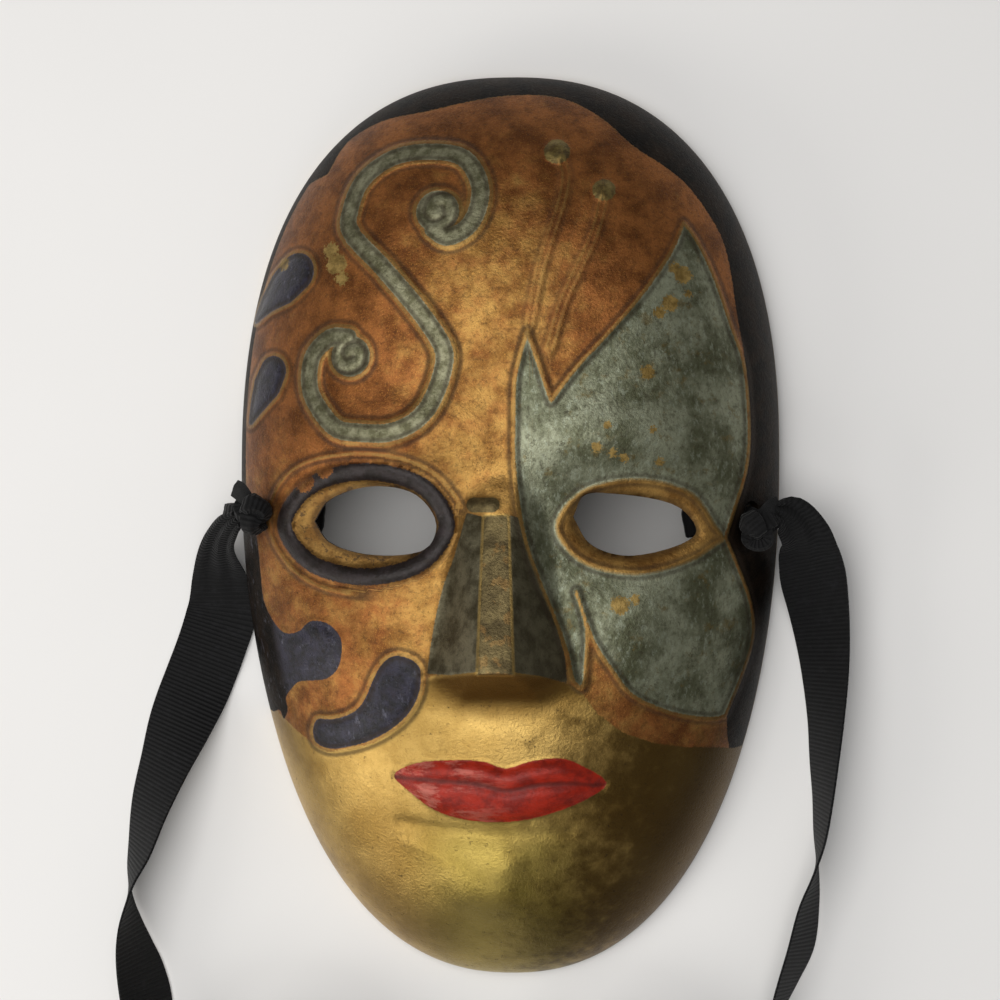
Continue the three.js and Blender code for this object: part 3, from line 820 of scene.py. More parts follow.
def sweep_frame(line: Array, outward: Array, closed: bool) -> tuple[Array, Array]:
    """Gives the two directions across a line at each point: along and square to outward.

    Args:
        line: the line's points.
        outward: at each point, which way the line's flat side looks.
        closed: whether the line runs round to its first point.

    Returns:
        The direction nearest to outward, and the direction across the line.
    """
    if closed:
        heading = np.roll(line, -1, axis=0) - np.roll(line, 1, axis=0)
    else:
        heading = np.gradient(line, axis=0)
    heading = heading / np.linalg.norm(heading, axis=1)[:, None]
    up = outward - np.sum(outward * heading, axis=1)[:, None] * heading
    up = up / np.linalg.norm(up, axis=1)[:, None]
    return up, np.cross(heading, up)


def add_strand(
    name: str, line: Array, outward: Array, wide: Array, thick: Array, closed: bool = False
) -> bpy.types.Object:
    """Makes a flattened strand along a line in millimetres.

    Args:
        name: the new piece's name.
        line: the line's points.
        outward: at each point, which way the strand's flat face looks.
        wide: at each point, half the strand's width.
        thick: at each point, half its thickness.
        closed: whether the line runs round to its first point.

    Returns:
        The strand, with its UV map's Y along the line.
    """
    around = 20
    rows = len(line) if closed else len(line) - 1
    piece, u, v = add_grid(name, around, rows)
    up, over = sweep_frame(line, outward, closed)
    index = np.round((v + 1) / 2 * rows).astype(int) % len(line)
    turn = u * math.pi
    fold = 1 + 0.12 * np.cos(5 * turn)
    places = (
        line[index]
        + over[index] * (wide[index] * np.cos(turn) * fold)[:, None]
        + up[index] * (thick[index] * np.sin(turn) * fold)[:, None]
    )
    write_places(piece, places * MM)
    pick(piece)
    bpy.ops.object.mode_set(mode="EDIT")
    bpy.ops.mesh.select_all(action="SELECT")
    bpy.ops.mesh.remove_doubles(threshold=1e-6)
    if not closed:
        bpy.ops.mesh.select_all(action="DESELECT")
        bpy.ops.mesh.select_non_manifold(extend=False)
        bpy.ops.mesh.fill_holes(sides=0)
        bpy.ops.mesh.select_all(action="SELECT")
    bpy.ops.mesh.normals_make_consistent(inside=False)
    bpy.ops.object.mode_set(mode="OBJECT")
    bpy.ops.object.shade_smooth_by_angle(angle=math.radians(60))
    return piece


def settle(piece: bpy.types.Object) -> None:
    """Puts a piece's object at the origin, unturned and unscaled."""
    pick(piece)
    bpy.ops.object.transform_apply(location=True, rotation=True, scale=True)


# ---- Shader nodes ---------------------------------------------------------------------------
Socket = bpy.types.NodeSocket


class NodeBench:
    """Lays out a material's nodes with short calls."""

    def __init__(self, name: str) -> None:
        """Makes the material, with its shader."""
        self.material = bpy.data.materials.new(name)
        self.material.use_nodes = True
        self.tree = self.material.node_tree
        self.shader = self.tree.nodes["Principled BSDF"]

    def add(self, kind: str, **settings: object) -> bpy.types.Node:
        """Adds one node with its settings.

        Args:
            kind: the node's type.
            settings: its settings by name.

        Returns:
            The node.
        """
        node = self.tree.nodes.new(kind)
        for key, value in settings.items():
            setattr(node, key, value)
        return node

    def put(self, socket: Socket, value: object) -> None:
        """Links a socket, or gives an input a constant.

        Args:
            socket: the input.
            value: a socket to link, or a constant.
        """
        if isinstance(value, bpy.types.NodeSocket):
            self.tree.links.new(value, socket)
        elif isinstance(value, tuple) and len(value) == 3 and socket.type == "RGBA":
            socket.default_value = (*value, 1.0)
        else:
            socket.default_value = value

    def attribute(self, name: str) -> Socket:
        """Reads a number stored on the mesh."""
        return self.add("ShaderNodeAttribute", attribute_name=name).outputs["Fac"]

    def place(self) -> Socket:
        """Gives the place on the object, in metres."""
        return self.add("ShaderNodeTexCoord").outputs["Object"]

    def uv(self) -> Socket:
        """Gives the place on the piece's own UV map."""
        return self.add("ShaderNodeTexCoord").outputs["UV"]

    def math(self, kind: str, a: object, b: object = 0.0, c: object = 0.0) -> Socket:
        """Works out one sum.

        Args:
            kind: the operation.
            a: its first number.
            b: its second.
            c: its third.

        Returns:
            The result.
        """
        node = self.add("ShaderNodeMath", operation=kind)
        for socket, value in zip(node.inputs, (a, b, c)):
            self.put(socket, value)
        return node.outputs[0]

    def ramp(self, value: object, low: float, high: float) -> Socket:
        """Turns smoothly from 0 at low to 1 at high, which may be the smaller number.

        Args:
            value: the number to read.
            low: where the turn starts.
            high: where it ends.

        Returns:
            The share, 0 to 1.
        """
        node = self.add("ShaderNodeMapRange", interpolation_type="SMOOTHSTEP", clamp=True)
        self.put(node.inputs["Value"], value)
        self.put(node.inputs["From Min"], low)
        self.put(node.inputs["From Max"], high)
        return node.outputs["Result"]

    def noise(self, vector: Socket, per_mm: float, detail: float = 3.0, rough: float = 0.55) -> Socket:
        """Gives cloudy noise with so many features to a millimetre.

        Args:
            vector: the places to read.
            per_mm: features to a millimetre.
            detail: how many finer layers it has.
            rough: how strong those are.

        Returns:
            The cloud, about 0.5 on average.
        """
        node = self.add("ShaderNodeTexNoise", noise_dimensions="3D")
        self.put(node.inputs["Vector"], vector)
        self.put(node.inputs["Scale"], per_mm / MM)
        self.put(node.inputs["Detail"], detail)
        self.put(node.inputs["Roughness"], rough)
        return node.outputs["Fac"]

    def stretched(self, vector: Socket, scale: tuple[float, float, float], turn: float = 0.0) -> Socket:
        """Stretches and turns a pattern's places.

        Args:
            vector: the places to read.
            scale: the scale along X, Y and Z.
            turn: the turn about Z, in radians.

        Returns:
            The new places.
        """
        node = self.add("ShaderNodeMapping")
        self.put(node.inputs["Vector"], vector)
        self.put(node.inputs["Scale"], scale)
        self.put(node.inputs["Rotation"], (0.0, 0.0, turn))
        return node.outputs["Vector"]

    def mix(self, share: object, a: object, b: object) -> Socket:
        """Mixes two colours.

        Args:
            share: how much of the second.
            a: the first colour.
            b: the second colour.

        Returns:
            The mixed colour.
        """
        node = self.add("ShaderNodeMix", data_type="RGBA")
        self.put(node.inputs["Factor"], share)
        self.put(node.inputs["A"], a)
        self.put(node.inputs["B"], b)
        return node.outputs["Result"]

    def blend(self, share: object, a: object, b: object) -> Socket:
        """Mixes two numbers.

        Args:
            share: how much of the second.
            a: the first number.
            b: the second number.

        Returns:
            The mixed number.
        """
        node = self.add("ShaderNodeMix", data_type="FLOAT")
        self.put(node.inputs["Factor"], share)
        self.put(node.inputs["A"], a)
        self.put(node.inputs["B"], b)
        return node.outputs["Result"]

    def bump(self, height: Socket, distance: float, strength: float = 1.0) -> None:
        """Adds a fine relief, in millimetres, to the surface.

        Args:
            height: the relief's pattern, 0 to 1.
            distance: how deep it is.
            strength: how much of it shows.
        """
        node = self.add("ShaderNodeBump")
        self.put(node.inputs["Strength"], strength)
        self.put(node.inputs["Distance"], distance * MM)
        self.put(node.inputs["Height"], height)
        before = self.shader.inputs["Normal"]
        if before.is_linked:
            self.put(node.inputs["Normal"], before.links[0].from_socket)
        self.tree.links.new(node.outputs["Normal"], before)


def srgb(red: int, green: int, blue: int) -> Colour:
    """Turns an sRGB colour, 0 to 255, into a linear one.

    Args:
        red: how red it is.
        green: how green it is.
        blue: how blue it is.

    Returns:
        The linear colour.
    """
    found = []
    for value in (red / 255, green / 255, blue / 255):
        found.append(value / 12.92 if value <= 0.04045 else ((value + 0.055) / 1.055) ** 2.4)
    return found[0], found[1], found[2]


@dataclass(frozen=True)
class Finish:
    """One coat of the mask's finish.

    Attributes:
        light: the colour where it is fresh or thin.
        dark: the colour where it is thick or dirty.
        rough: how dull it is.
        metal: how much it shines as metal.
        mottle: the size of its mottling, in features to a millimetre.
    """

    light: Colour
    dark: Colour
    rough: float
    metal: float
    mottle: float


BRASS = Finish(srgb(190, 158, 92), srgb(146, 116, 60), 0.36, 1.0, 0.05)
COPPER = Finish(srgb(146, 92, 48), srgb(98, 57, 26), 0.44, 0.8, 0.14)
GOLD = Finish(srgb(170, 132, 72), srgb(122, 86, 42), 0.4, 0.9, 0.14)
GREEN = Finish(srgb(138, 141, 118), srgb(82, 84, 62), 0.36, 0.65, 0.1)
SCROLL_GREEN = Finish(srgb(136, 134, 108), srgb(86, 84, 60), 0.4, 0.65, 0.35)
INK = Finish(srgb(40, 38, 52), srgb(18, 17, 22), 0.3, 0.2, 0.4)
RING_INK = Finish(srgb(46, 40, 42), srgb(18, 15, 15), 0.28, 0.2, 0.4)
BORDER = Finish(srgb(36, 26, 17), srgb(13, 10, 7), 0.6, 0.9, 0.2)
LIP_RED = Finish(srgb(158, 34, 12), srgb(118, 22, 8), 0.36, 0.1, 0.3)
FLANK = Finish(srgb(112, 106, 84), srgb(66, 60, 42), 0.38, 0.75, 0.2)
RIDGE = Finish(srgb(116, 102, 68), srgb(72, 62, 40), 0.4, 0.8, 0.2)
CHIP = Finish(srgb(156, 130, 74), srgb(112, 90, 44), 0.45, 0.6, 0.4)
KNOB = Finish(srgb(124, 108, 62), srgb(82, 66, 34), 0.42, 0.7, 0.4)
# A dark brown for dirt, also used as painted shade in the grooves beside the raised lines.
DIRT_AND_SHADE = srgb(40, 28, 16)


class PaintedBrass:
    """Builds the painted brass of the mask's front, coat over coat."""

    def __init__(self) -> None:
        """Lays out the clouds and places that the coats share."""
        self.bench = NodeBench("painted_brass")
        self.spot = self.bench.place()
        self.coarse = self.bench.noise(self.spot, 0.25, 4.0, 0.6)
        self.fine = self.bench.noise(self.spot, 1.6, 5.0, 0.65)
        self.grain = self.bench.noise(self.spot, 4.0, 3.0, 0.6)
        split = self.bench.add("ShaderNodeSeparateXYZ")
        self.bench.put(split.inputs[0], self.spot)
        self.across = self.bench.math("MULTIPLY", split.outputs["X"], 1 / MM)
        self.along = self.bench.math("MULTIPLY", split.outputs["Y"], 1 / MM)
        self.colour: object = None
        self.rough: object = None
        self.metal: object = None

    def layer(self, layer: Layer) -> Socket:
        """Reads a layer's distance in millimetres."""
        return self.bench.attribute(layer.value)

    def worn(self, distance: Socket, amount: float) -> Socket:
        """Makes a distance's edge uneven, as brushed and worn paint is."""
        sway = self.bench.math("SUBTRACT", self.fine, 0.5)
        return self.bench.math("MULTIPLY_ADD", sway, amount, distance)

    def area(self, distance: Socket, start: float = 0.0, wear: float = 0.6) -> Socket:
        """Gives 1 inside a worn-edged area that begins at a distance."""
        return self.bench.ramp(self.worn(distance, wear), start - 0.12, start + 0.12)

    def both(self, *shares: object) -> Socket:
        """Gives the overlap of areas.

        Args:
            shares: the areas.

        Returns:
            The overlap.
        """
        found = shares[0]
        for share in shares[1:]:
            found = self.bench.math("MULTIPLY", found, share)
        return found

    def less(self, share: object) -> Socket:
        """Gives the rest of an area."""
        return self.bench.math("SUBTRACT", 1.0, share)

    def tone(self, finish: Finish, low: float = 0.35, high: float = 0.65) -> Socket:
        """Gives a finish's mottled colour."""
        cloud = self.bench.noise(self.spot, finish.mottle, 5.0, 0.65)
        return self.bench.mix(self.bench.ramp(cloud, low, high), finish.dark, finish.light)

    def coat(self, share: object, colour: object, rough: object, metal: object) -> None:
        """Lays one coat over what is there.

        Args:
            share: the coat's area.
            colour: its colour.
            rough: how dull it is.
            metal: how much it shines as metal.
        """
        if self.colour is None:
            self.colour, self.rough, self.metal = colour, rough, metal
            return
        self.colour = self.bench.mix(share, self.colour, colour)
        self.rough = self.bench.blend(share, self.rough, rough)
        self.metal = self.bench.blend(share, self.metal, metal)

    def paint(self, share: object, finish: Finish) -> None:
        """Lays a finish over an area."""
        self.coat(share, self.tone(finish), finish.rough, finish.metal)

    def finish(self) -> bpy.types.Material:
        """Joins the coats to the shader."""
        sockets = self.bench.shader.inputs
        sway = self.bench.math("SUBTRACT", self.fine, 0.5)
        rough = self.bench.math("MULTIPLY_ADD", sway, 0.25, self.rough)
        self.bench.put(sockets["Base Color"], self.colour)
        self.bench.put(sockets["Roughness"], rough)
        self.bench.put(sockets["Metallic"], self.metal)
        self.bench.put(sockets["Specular IOR Level"], 0.3)
        return self.bench.material


def bare_coat(work: PaintedBrass) -> None:
    """Lays the bare brass: dark specks, tarnish weighted to the right and bottom as partly painted
    shade, and painted shade under the nose.

    Args:
        work: the paint so far.
    """
    bench = work.bench
    work.coat(1.0, work.tone(BRASS, 0.3, 0.7), BRASS.rough, BRASS.metal)
    olive = work.both(
        bench.ramp(bench.math("ABSOLUTE", work.across), 26.0, 6.0), bench.ramp(work.along, -56.0, -72.0)
    )
    work.coat(work.both(olive, 0.5), srgb(152, 142, 66), 0.36, 1.0)
    # Dark brown tarnish in clouds, laid heavier towards the right side and the bottom: partly real
    # tarnish, partly a painted shade on the side away from the light.
    right = bench.math("MULTIPLY_ADD", work.across, 0.015, 0.35)
    low = bench.math("MULTIPLY_ADD", work.along, -0.002, right)
    cloud = bench.ramp(bench.math("MULTIPLY_ADD", work.coarse, 0.9, low), 0.9, 1.4)
    work.coat(work.both(cloud, 0.85), srgb(74, 54, 22), 0.46, 0.95)
    # Painted shade under the nose: a soft brown patch below the nose's underside.
    below = bench.math("POWER", bench.math("DIVIDE", bench.math("ADD", work.along, 35.0), 7.0), 2.0)
    beside = bench.math("POWER", bench.math("DIVIDE", work.across, 19.0), 2.0)
    under_nose_shade = bench.ramp(bench.math("ADD", below, beside), 1.3, 0.2)
    work.coat(work.both(under_nose_shade, 0.8), srgb(92, 66, 26), 0.46, 0.95)
    specks = bench.ramp(bench.noise(work.spot, 1.1, 4.0, 0.7), 0.6, 0.66)
    zone = bench.ramp(work.coarse, 0.42, 0.62)
    work.coat(work.both(specks, zone, 0.7), srgb(46, 34, 18), 0.6, 0.6)


def copper_coat(work: PaintedBrass, share: Socket) -> None:
    """Lays the copper field: red-brown at the temples, golden down the middle and on the cheek, the
    middle's gold partly a painted highlight.

    Args:
        work: the paint so far.
        share: the copper's area.
    """
    bench = work.bench
    # Gold down the middle and on the cheek; down the forehead's middle it is partly a painted highlight
    # where the overhead light falls.
    middle = bench.ramp(bench.math("ABSOLUTE", bench.math("ADD", work.across, 2.0)), 32.0, 2.0)
    middle = work.both(middle, bench.ramp(work.along, 92.0, 55.0))
    cheek = bench.ramp(work.along, 30.0, -5.0)
    gold_and_highlight = bench.math("MULTIPLY_ADD", middle, 0.7, bench.math("MULTIPLY", cheek, 0.35))
    sway = bench.math("MULTIPLY_ADD", bench.math("SUBTRACT", work.coarse, 0.5), 1.6, gold_and_highlight)
    amount = bench.ramp(sway, 0.1, 1.0)
    colour = bench.mix(amount, work.tone(COPPER), work.tone(GOLD))
    rough = bench.blend(amount, COPPER.rough, GOLD.rough)
    metal = bench.blend(amount, COPPER.metal, GOLD.metal)
    work.coat(share, colour, rough, metal)
    glitter = bench.ramp(work.grain, 0.55, 0.68)
    work.coat(work.both(share, glitter, 0.4), srgb(196, 140, 66), 0.32, 1.0)
    pits = bench.ramp(bench.noise(work.spot, 2.6, 2.0, 0.5), 0.36, 0.28)
    work.coat(work.both(share, pits, 0.6), srgb(66, 38, 16), 0.55, 0.6)


def green_coat(work: PaintedBrass, share: Socket) -> None:
    """Lays the wing's grey-green, brushed on, thin in places and scratched.

    Args:
        work: the paint so far.
        share: the wing's area.
    """
    bench = work.bench
    work.paint(share, GREEN)
    strokes = bench.noise(bench.stretched(work.spot, (1.0, 0.55, 1.0), 0.7), 0.9, 6.0, 0.7)
    work.coat(work.both(share, bench.ramp(strokes, 0.5, 0.68), 0.5), srgb(58, 56, 38), 0.42, 0.5)
    work.coat(work.both(share, bench.ramp(strokes, 0.47, 0.36), 0.38), srgb(160, 167, 148), 0.32, 0.75)
    thin = bench.ramp(bench.noise(work.spot, 0.3, 6.0, 0.7), 0.56, 0.68)
    work.coat(work.both(share, thin, 0.6), srgb(104, 88, 48), 0.38, 0.8)
    cloud = bench.noise(work.spot, 0.28, 3.0, 0.55)
    wrinkles = bench.math("ABSOLUTE", bench.math("SUBTRACT", cloud, 0.5))
    crack = work.both(share, bench.ramp(wrinkles, 0.012, 0.0), bench.ramp(work.coarse, 0.48, 0.6))
    work.coat(work.both(crack, 0.6), DIRT_AND_SHADE, 0.5, 0.4)


def raised_lines(work: PaintedBrass) -> None:
    """Rubs the raised lines back to brass and darkens the grooves beside them, with dirt and a painted
    shade.

    Args:
        work: the paint so far.
    """
    bench = work.bench
    for layer, width, shine in (
        (Layer.SCROLL, 0.4, 0.7), (Layer.WING, 0.4, 0.7), (Layer.DROP, 0.4, 0.7),
        (Layer.ANTENNA, 0.3, 0.35), (Layer.LINE, 0.35, 0.6), (Layer.RIGHT_RING, 0.4, 0.7),
    ):
        distance = bench.math("ABSOLUTE", work.layer(layer))
        if layer is Layer.ANTENNA:
            distance = bench.math("ABSOLUTE", bench.math("SUBTRACT", distance, 0.7))
        near = work.worn(distance, 0.5)
        # Dark grooves beside each raised line: partly dirt, partly a painted shade in the recess.
        inner = bench.ramp(near, width, width + 0.5)
        outer = bench.ramp(near, width + 1.5, width + 0.7)
        groove_dirt_and_shade = work.both(inner, outer)
        work.coat(work.both(groove_dirt_and_shade, 0.25 if layer is Layer.ANTENNA else 0.55), DIRT_AND_SHADE, 0.55, 0.4)
        line = bench.ramp(near, width + 0.15, width * 0.5)
        rubbed = bench.ramp(work.coarse, 0.3, 0.55)
        amount = bench.math("MULTIPLY_ADD", rubbed, shine * 0.6, shine * 0.4)
        work.coat(work.both(line, amount), srgb(140, 112, 64), 0.36, 0.9)


def painted_brass() -> bpy.types.Material:
    """Makes the front's material: brass, then copper, green, blue-black, red and worn lines."""
    work = PaintedBrass()
    bench = work.bench
    bare_coat(work)
    field_area = work.area(work.layer(Layer.FIELD), 0.0, 0.9)
    bare = work.area(work.layer(Layer.CHIN), 0.0, 1.2)
    copper_coat(work, work.both(field_area, work.less(bare)))
    edge = work.both(work.less(field_area), work.less(bare))
    edge = work.both(edge, bench.ramp(work.layer(Layer.RIM), 0.08, 0.3))
    work.paint(edge, BORDER)
    shade = work.area(work.layer(Layer.SHADE), 0.0, 0.5)
    work.paint(shade, INK)
    work.paint(work.both(shade, bench.ramp(work.worn(work.layer(Layer.RIM), 1.2), 9.0, 6.0)), BORDER)
    work.paint(work.area(work.layer(Layer.SCROLL), 0.45, 0.5), SCROLL_GREEN)
    green_coat(work, work.area(work.layer(Layer.WING), 0.3, 0.8))
    drop = work.area(work.layer(Layer.DROP), 0.35, 0.4)
    work.paint(drop, INK)
    # Pale silvery streaks on the blue-black areas: partly scratches in the ink, partly painted glints.
    brushed = bench.stretched(work.spot, (1.0, 0.5, 1.0), 0.9)
    scuffs_and_glints = bench.ramp(bench.noise(brushed, 0.7, 6.0, 0.75), 0.56, 0.68)
    work.coat(work.both(bench.math("MAXIMUM", drop, shade), scuffs_and_glints, 0.4), srgb(112, 112, 126), 0.26, 0.6)
    work.coat(work.both(bench.ramp(work.layer(Layer.CURL), 0.75, 0.2), 0.6), DIRT_AND_SHADE, 0.5, 0.5)
    work.paint(work.area(work.layer(Layer.DOT), 0.2, 1.0), KNOB)
    left_ring = work.layer(Layer.LEFT_RING)
    rubbed = work.less(work.area(work.layer(Layer.RUBBED), 0.0, 2.4))
    inner_ring = work.area(left_ring, 3.9, 1.0)
    work.paint(inner_ring, GOLD)
    tube = work.both(work.area(left_ring, 0.2, 1.2), work.less(inner_ring), rubbed)
    work.paint(tube, RING_INK)
    right_ring = work.area(work.layer(Layer.RIGHT_RING), 0.0, 0.6)
    work.paint(right_ring, GOLD)
    # A darker brown in a narrow band along each eye opening's edge.
    right_eye_edge_dark = bench.ramp(work.layer(Layer.RIGHT_EYE), -1.6, -0.2)
    work.coat(work.both(right_ring, right_eye_edge_dark, 0.6), DIRT_AND_SHADE, 0.5, 0.6)
    left_eye_edge_dark = bench.ramp(work.layer(Layer.LEFT_EYE), -1.4, -0.2)
    work.coat(work.both(inner_ring, left_eye_edge_dark, 0.55), DIRT_AND_SHADE, 0.5, 0.6)
    dabs = bench.ramp(bench.noise(work.spot, 0.5, 5.0, 0.7), 0.54, 0.6)
    work.coat(work.both(inner_ring, dabs, 0.7), srgb(44, 32, 20), 0.45, 0.3)
    flank = work.area(work.layer(Layer.FLANK), 0.0, 0.5)
    work.paint(flank, FLANK)
    work.coat(work.both(flank, bench.ramp(work.across, 1.0, 5.0), 0.5), srgb(50, 46, 30), 0.42, 0.8)
    ridge_strip = work.area(work.layer(Layer.RIDGE), 0.0, 0.5)
    work.paint(ridge_strip, RIDGE)
    worn_ridge = bench.ramp(bench.noise(work.spot, 0.3, 4.0, 0.6), 0.55, 0.62)
    work.coat(work.both(ridge_strip, worn_ridge, 0.25), srgb(160, 118, 64), 0.34, 0.9)
    ridge_line = bench.ramp(bench.math("ABSOLUTE", work.layer(Layer.RIDGE)), 0.45, 0.15)
    work.coat(work.both(ridge_line, 0.45), srgb(178, 148, 84), 0.32, 1.0)
    work.paint(work.area(work.layer(Layer.BAR), 0.0, 0.3), RIDGE)
    lips = work.area(work.layer(Layer.LIPS), 0.0, 0.5)
    work.paint(lips, LIP_RED)
    # Pale pink streaks on the lips' left side: partly worn paint, partly a painted highlight on the side
    # the light comes from.
    streaks = bench.stretched(work.spot, (0.5, 1.6, 1.0))
    pale = bench.ramp(bench.noise(streaks, 0.22, 5.0, 0.7), 0.5, 0.62)
    left_side = bench.ramp(work.across, 8.0, -14.0)
    work.coat(work.both(lips, pale, left_side, 0.6), srgb(184, 110, 96), 0.3, 0.3)
    seam = bench.ramp(bench.math("ABSOLUTE", work.layer(Layer.MOUTH)), 0.9, 0.1)
    work.coat(work.both(lips, seam, 0.7), srgb(70, 12, 4), 0.5, 0.0)
    work.paint(work.area(work.layer(Layer.CHIP), 0.0, 3.4), CHIP)
    raised_lines(work)
    speckle = bench.ramp(bench.noise(work.spot, 0.9, 7.0, 0.8), 0.5, 0.64)
    work.coat(work.both(speckle, bench.blend(bare, 0.42, 0.16)), DIRT_AND_SHADE, 0.5, 0.6)
    bench.bump(work.fine, 0.2, 0.7)
    bench.bump(work.grain, 0.06, 0.6)
    return work.finish()


def bare_brass() -> bpy.types.Material:
    """Makes the dull brass of the hollow inside."""
    bench = NodeBench("inside_brass")
    spot = bench.place()
    cloud = bench.ramp(bench.noise(spot, 0.15, 5.0, 0.65), 0.35, 0.65)
    sockets = bench.shader.inputs
    bench.put(sockets["Base Color"], bench.mix(cloud, srgb(92, 72, 40), srgb(150, 122, 72)))
    bench.put(sockets["Roughness"], bench.blend(cloud, 0.6, 0.48))
    bench.put(sockets["Metallic"], 0.9)
    bench.bump(bench.noise(spot, 0.8, 4.0, 0.6), 0.2, 0.5)
    return bench.material


def grosgrain(length: float, pitch: float = 0.95) -> bpy.types.Material:
    """Makes black ribbed ribbon, its ribs across the UV map's length.

    Args:
        length: the ribbon's length in millimetres.
        pitch: the distance from rib to rib in millimetres.

    Returns:
        The material.
    """
    bench = NodeBench("black_grosgrain")
    split = bench.add("ShaderNodeSeparateXYZ")
    bench.put(split.inputs[0], bench.uv())
    turns = bench.math("MULTIPLY", split.outputs["Y"], 2 * math.pi * length / pitch)
    wave = bench.math("SINE", turns)
    rib = bench.math("MULTIPLY_ADD", wave, 0.5, 0.5)
    spot = bench.place()
    thread = bench.noise(spot, 3.0, 3.0, 0.6)
    fuzz = bench.noise(spot, 0.5, 4.0, 0.6)
    sockets = bench.shader.inputs
    # The ribs are painted lighter on their crests and darker between them, a painted shade in the
    # grooves.
    tone = bench.mix(rib, srgb(4, 4, 5), srgb(14, 14, 15))
    bench.put(sockets["Base Color"], bench.mix(bench.ramp(fuzz, 0.5, 0.75), tone, srgb(20, 20, 22)))
    bench.put(sockets["Roughness"], bench.blend(thread, 0.7, 0.95))
    bench.put(sockets["Sheen Weight"], 0.04)
    bench.put(sockets["Sheen Roughness"], 0.4)
    bench.put(sockets["Specular IOR Level"], 0.25)
    bench.bump(rib, 0.22, 0.9)
    bench.bump(thread, 0.1, 0.5)
    return bench.material


# ---- The mask -------------------------------------------------------------------------------
@dataclass
class MaskShell:
    """The brass shell: a fine front, a plain back, the rim between them, and the cut openings.

    Attributes:
        form: the face's smooth form.
        ornament: what stands on it.
        front_grid: the front's columns and rows.
        back_grid: the back's columns and rows.
        hole_radius: the radius of each tie hole.
        materials: the front's material and the back's, once they are made.
    """

    form: FaceForm
    ornament: Ornament
    front_grid: tuple[int, int] = (230, 384)
    back_grid: tuple[int, int] = (58, 96)
    hole_radius: float = 2.6
    materials: list[bpy.types.Material] = field(default_factory=list)

    def build(self) -> bpy.types.Object:
        """Makes the shell and returns it."""
        self.materials = [painted_brass(), bare_brass()]
        front = self.front()
        back = self.back()
        pick(front, back)
        bpy.ops.object.join()
        bpy.ops.object.mode_set(mode="EDIT")
        bpy.ops.mesh.select_mode(type="EDGE")
        bpy.ops.mesh.select_all(action="DESELECT")
        bpy.ops.mesh.select_non_manifold(
            extend=False,
            use_wire=False,
            use_boundary=True,
            use_multi_face=False,
            use_non_contiguous=False,
            use_verts=False,
        )
        bpy.ops.mesh.bridge_edge_loops()
        bpy.ops.mesh.select_all(action="SELECT")
        bpy.ops.mesh.normals_make_consistent(inside=False)
        bpy.ops.object.mode_set(mode="OBJECT")
        self.cut(front)
        self.mark(front)
        bpy.ops.object.shade_smooth_by_angle(angle=math.radians(62))
        front.name = "painted_mask"
        return front

    def front(self) -> bpy.types.Object:
        """Makes the ornamented front."""
        piece, u, v = add_grid("mask_front", *self.front_grid)
        x, y = self.form.place(u, v)
        near = self.ornament.distances(x, y)
        within = ease(0.0, 2.5, near[Layer.RIM])
        z = self.form.height(x, y) + self.ornament.relief(x, y, near) * within
        z = np.where(np.maximum(np.abs(u), np.abs(v)) > 0.9999, self.form.rim_lift(y), z)
        write_places(piece, np.stack([x, y, z], axis=1) * MM)
        self.face_with(piece, 0)
        return piece

    def back(self) -> bpy.types.Object:
        """Makes the plain back, facing down."""
        piece, u, v = add_grid("mask_back", *self.back_grid)
        wall = self.form.wall
        x, y = self.form.place(u, v, wall)
        z = self.form.height(x, y, wall)
        z = np.where(np.maximum(np.abs(u), np.abs(v)) > 0.9999, self.form.rim_lift(y), z)
        z = np.maximum(z, self.form.rim_lift(y))
        write_places(piece, np.stack([x, y, z], axis=1) * MM)
        self.face_with(piece, 1)
        pick(piece)
        bpy.ops.object.mode_set(mode="EDIT")
        bpy.ops.mesh.select_all(action="SELECT")
        bpy.ops.mesh.flip_normals()
        bpy.ops.object.mode_set(mode="OBJECT")
        return piece

    def face_with(self, piece: bpy.types.Object, index: int) -> None:
        """Gives a sheet both of the shell's materials, in one order, and uses one of them.

        Args:
            piece: the sheet.
            index: 0 for the front's material, 1 for the back's.
        """
        for material in self.materials:
            piece.data.materials.append(material)
        chosen = np.full(len(piece.data.polygons), index, np.int32)
        piece.data.polygons.foreach_set("material_index", chosen)

    def tie_drill(self, side: int) -> bpy.types.Object:
        """Makes the drill for one temple's tie hole.

        Args:
            side: -1 at the left and 1 at the right.

        Returns:
            The drill.
        """
        x = self.form.width / 2 - self.form.tie_inset
        y = self.form.arch_y
        normal = self.form.normal(x, y)
        centre = Vector((side * x, y, float(self.form.dome(x, y)))) * MM
        direction = Vector((side * normal[0], normal[1], normal[2]))
        deselect()
        bpy.ops.mesh.primitive_cylinder_add(
            vertices=32,
            radius=self.hole_radius * MM,
            depth=8 * self.form.wall * MM,
            location=centre,
            rotation=direction.to_track_quat("Z", "Y").to_euler(),
        )
        drill = bpy.context.object
        settle(drill)
        return drill

    def cut(self, shell: bpy.types.Object) -> None:
        """Cuts the eyes and the tie holes.

        Args:
            shell: the shell.
        """
        tools = [self.tie_drill(-1), self.tie_drill(1)]
        for name, outline in (("left_eye_cut", LEFT_EYE), ("right_eye_cut", RIGHT_EYE)):
            line = even_steps(smooth_line([*outline, outline[0]]), 0.8)[:-1]
            tools.append(add_prism(name, line, 5, 60))
        for tool in tools:
            pick(shell)
            modifier = shell.modifiers.new("cut", "BOOLEAN")
            modifier.operation = "DIFFERENCE"
            modifier.solver = "EXACT"
            modifier.object = tool
            bpy.ops.object.modifier_apply(modifier=modifier.name)
            bpy.data.objects.remove(tool)

    def mark(self, shell: bpy.types.Object) -> None:
        """Stores the ornament's distances on the finished shell."""
        places = read_places(shell) / MM
        for layer, values in self.ornament.distances(places[:, 0], places[:, 1]).items():
            add_layer(shell, layer.value, values)


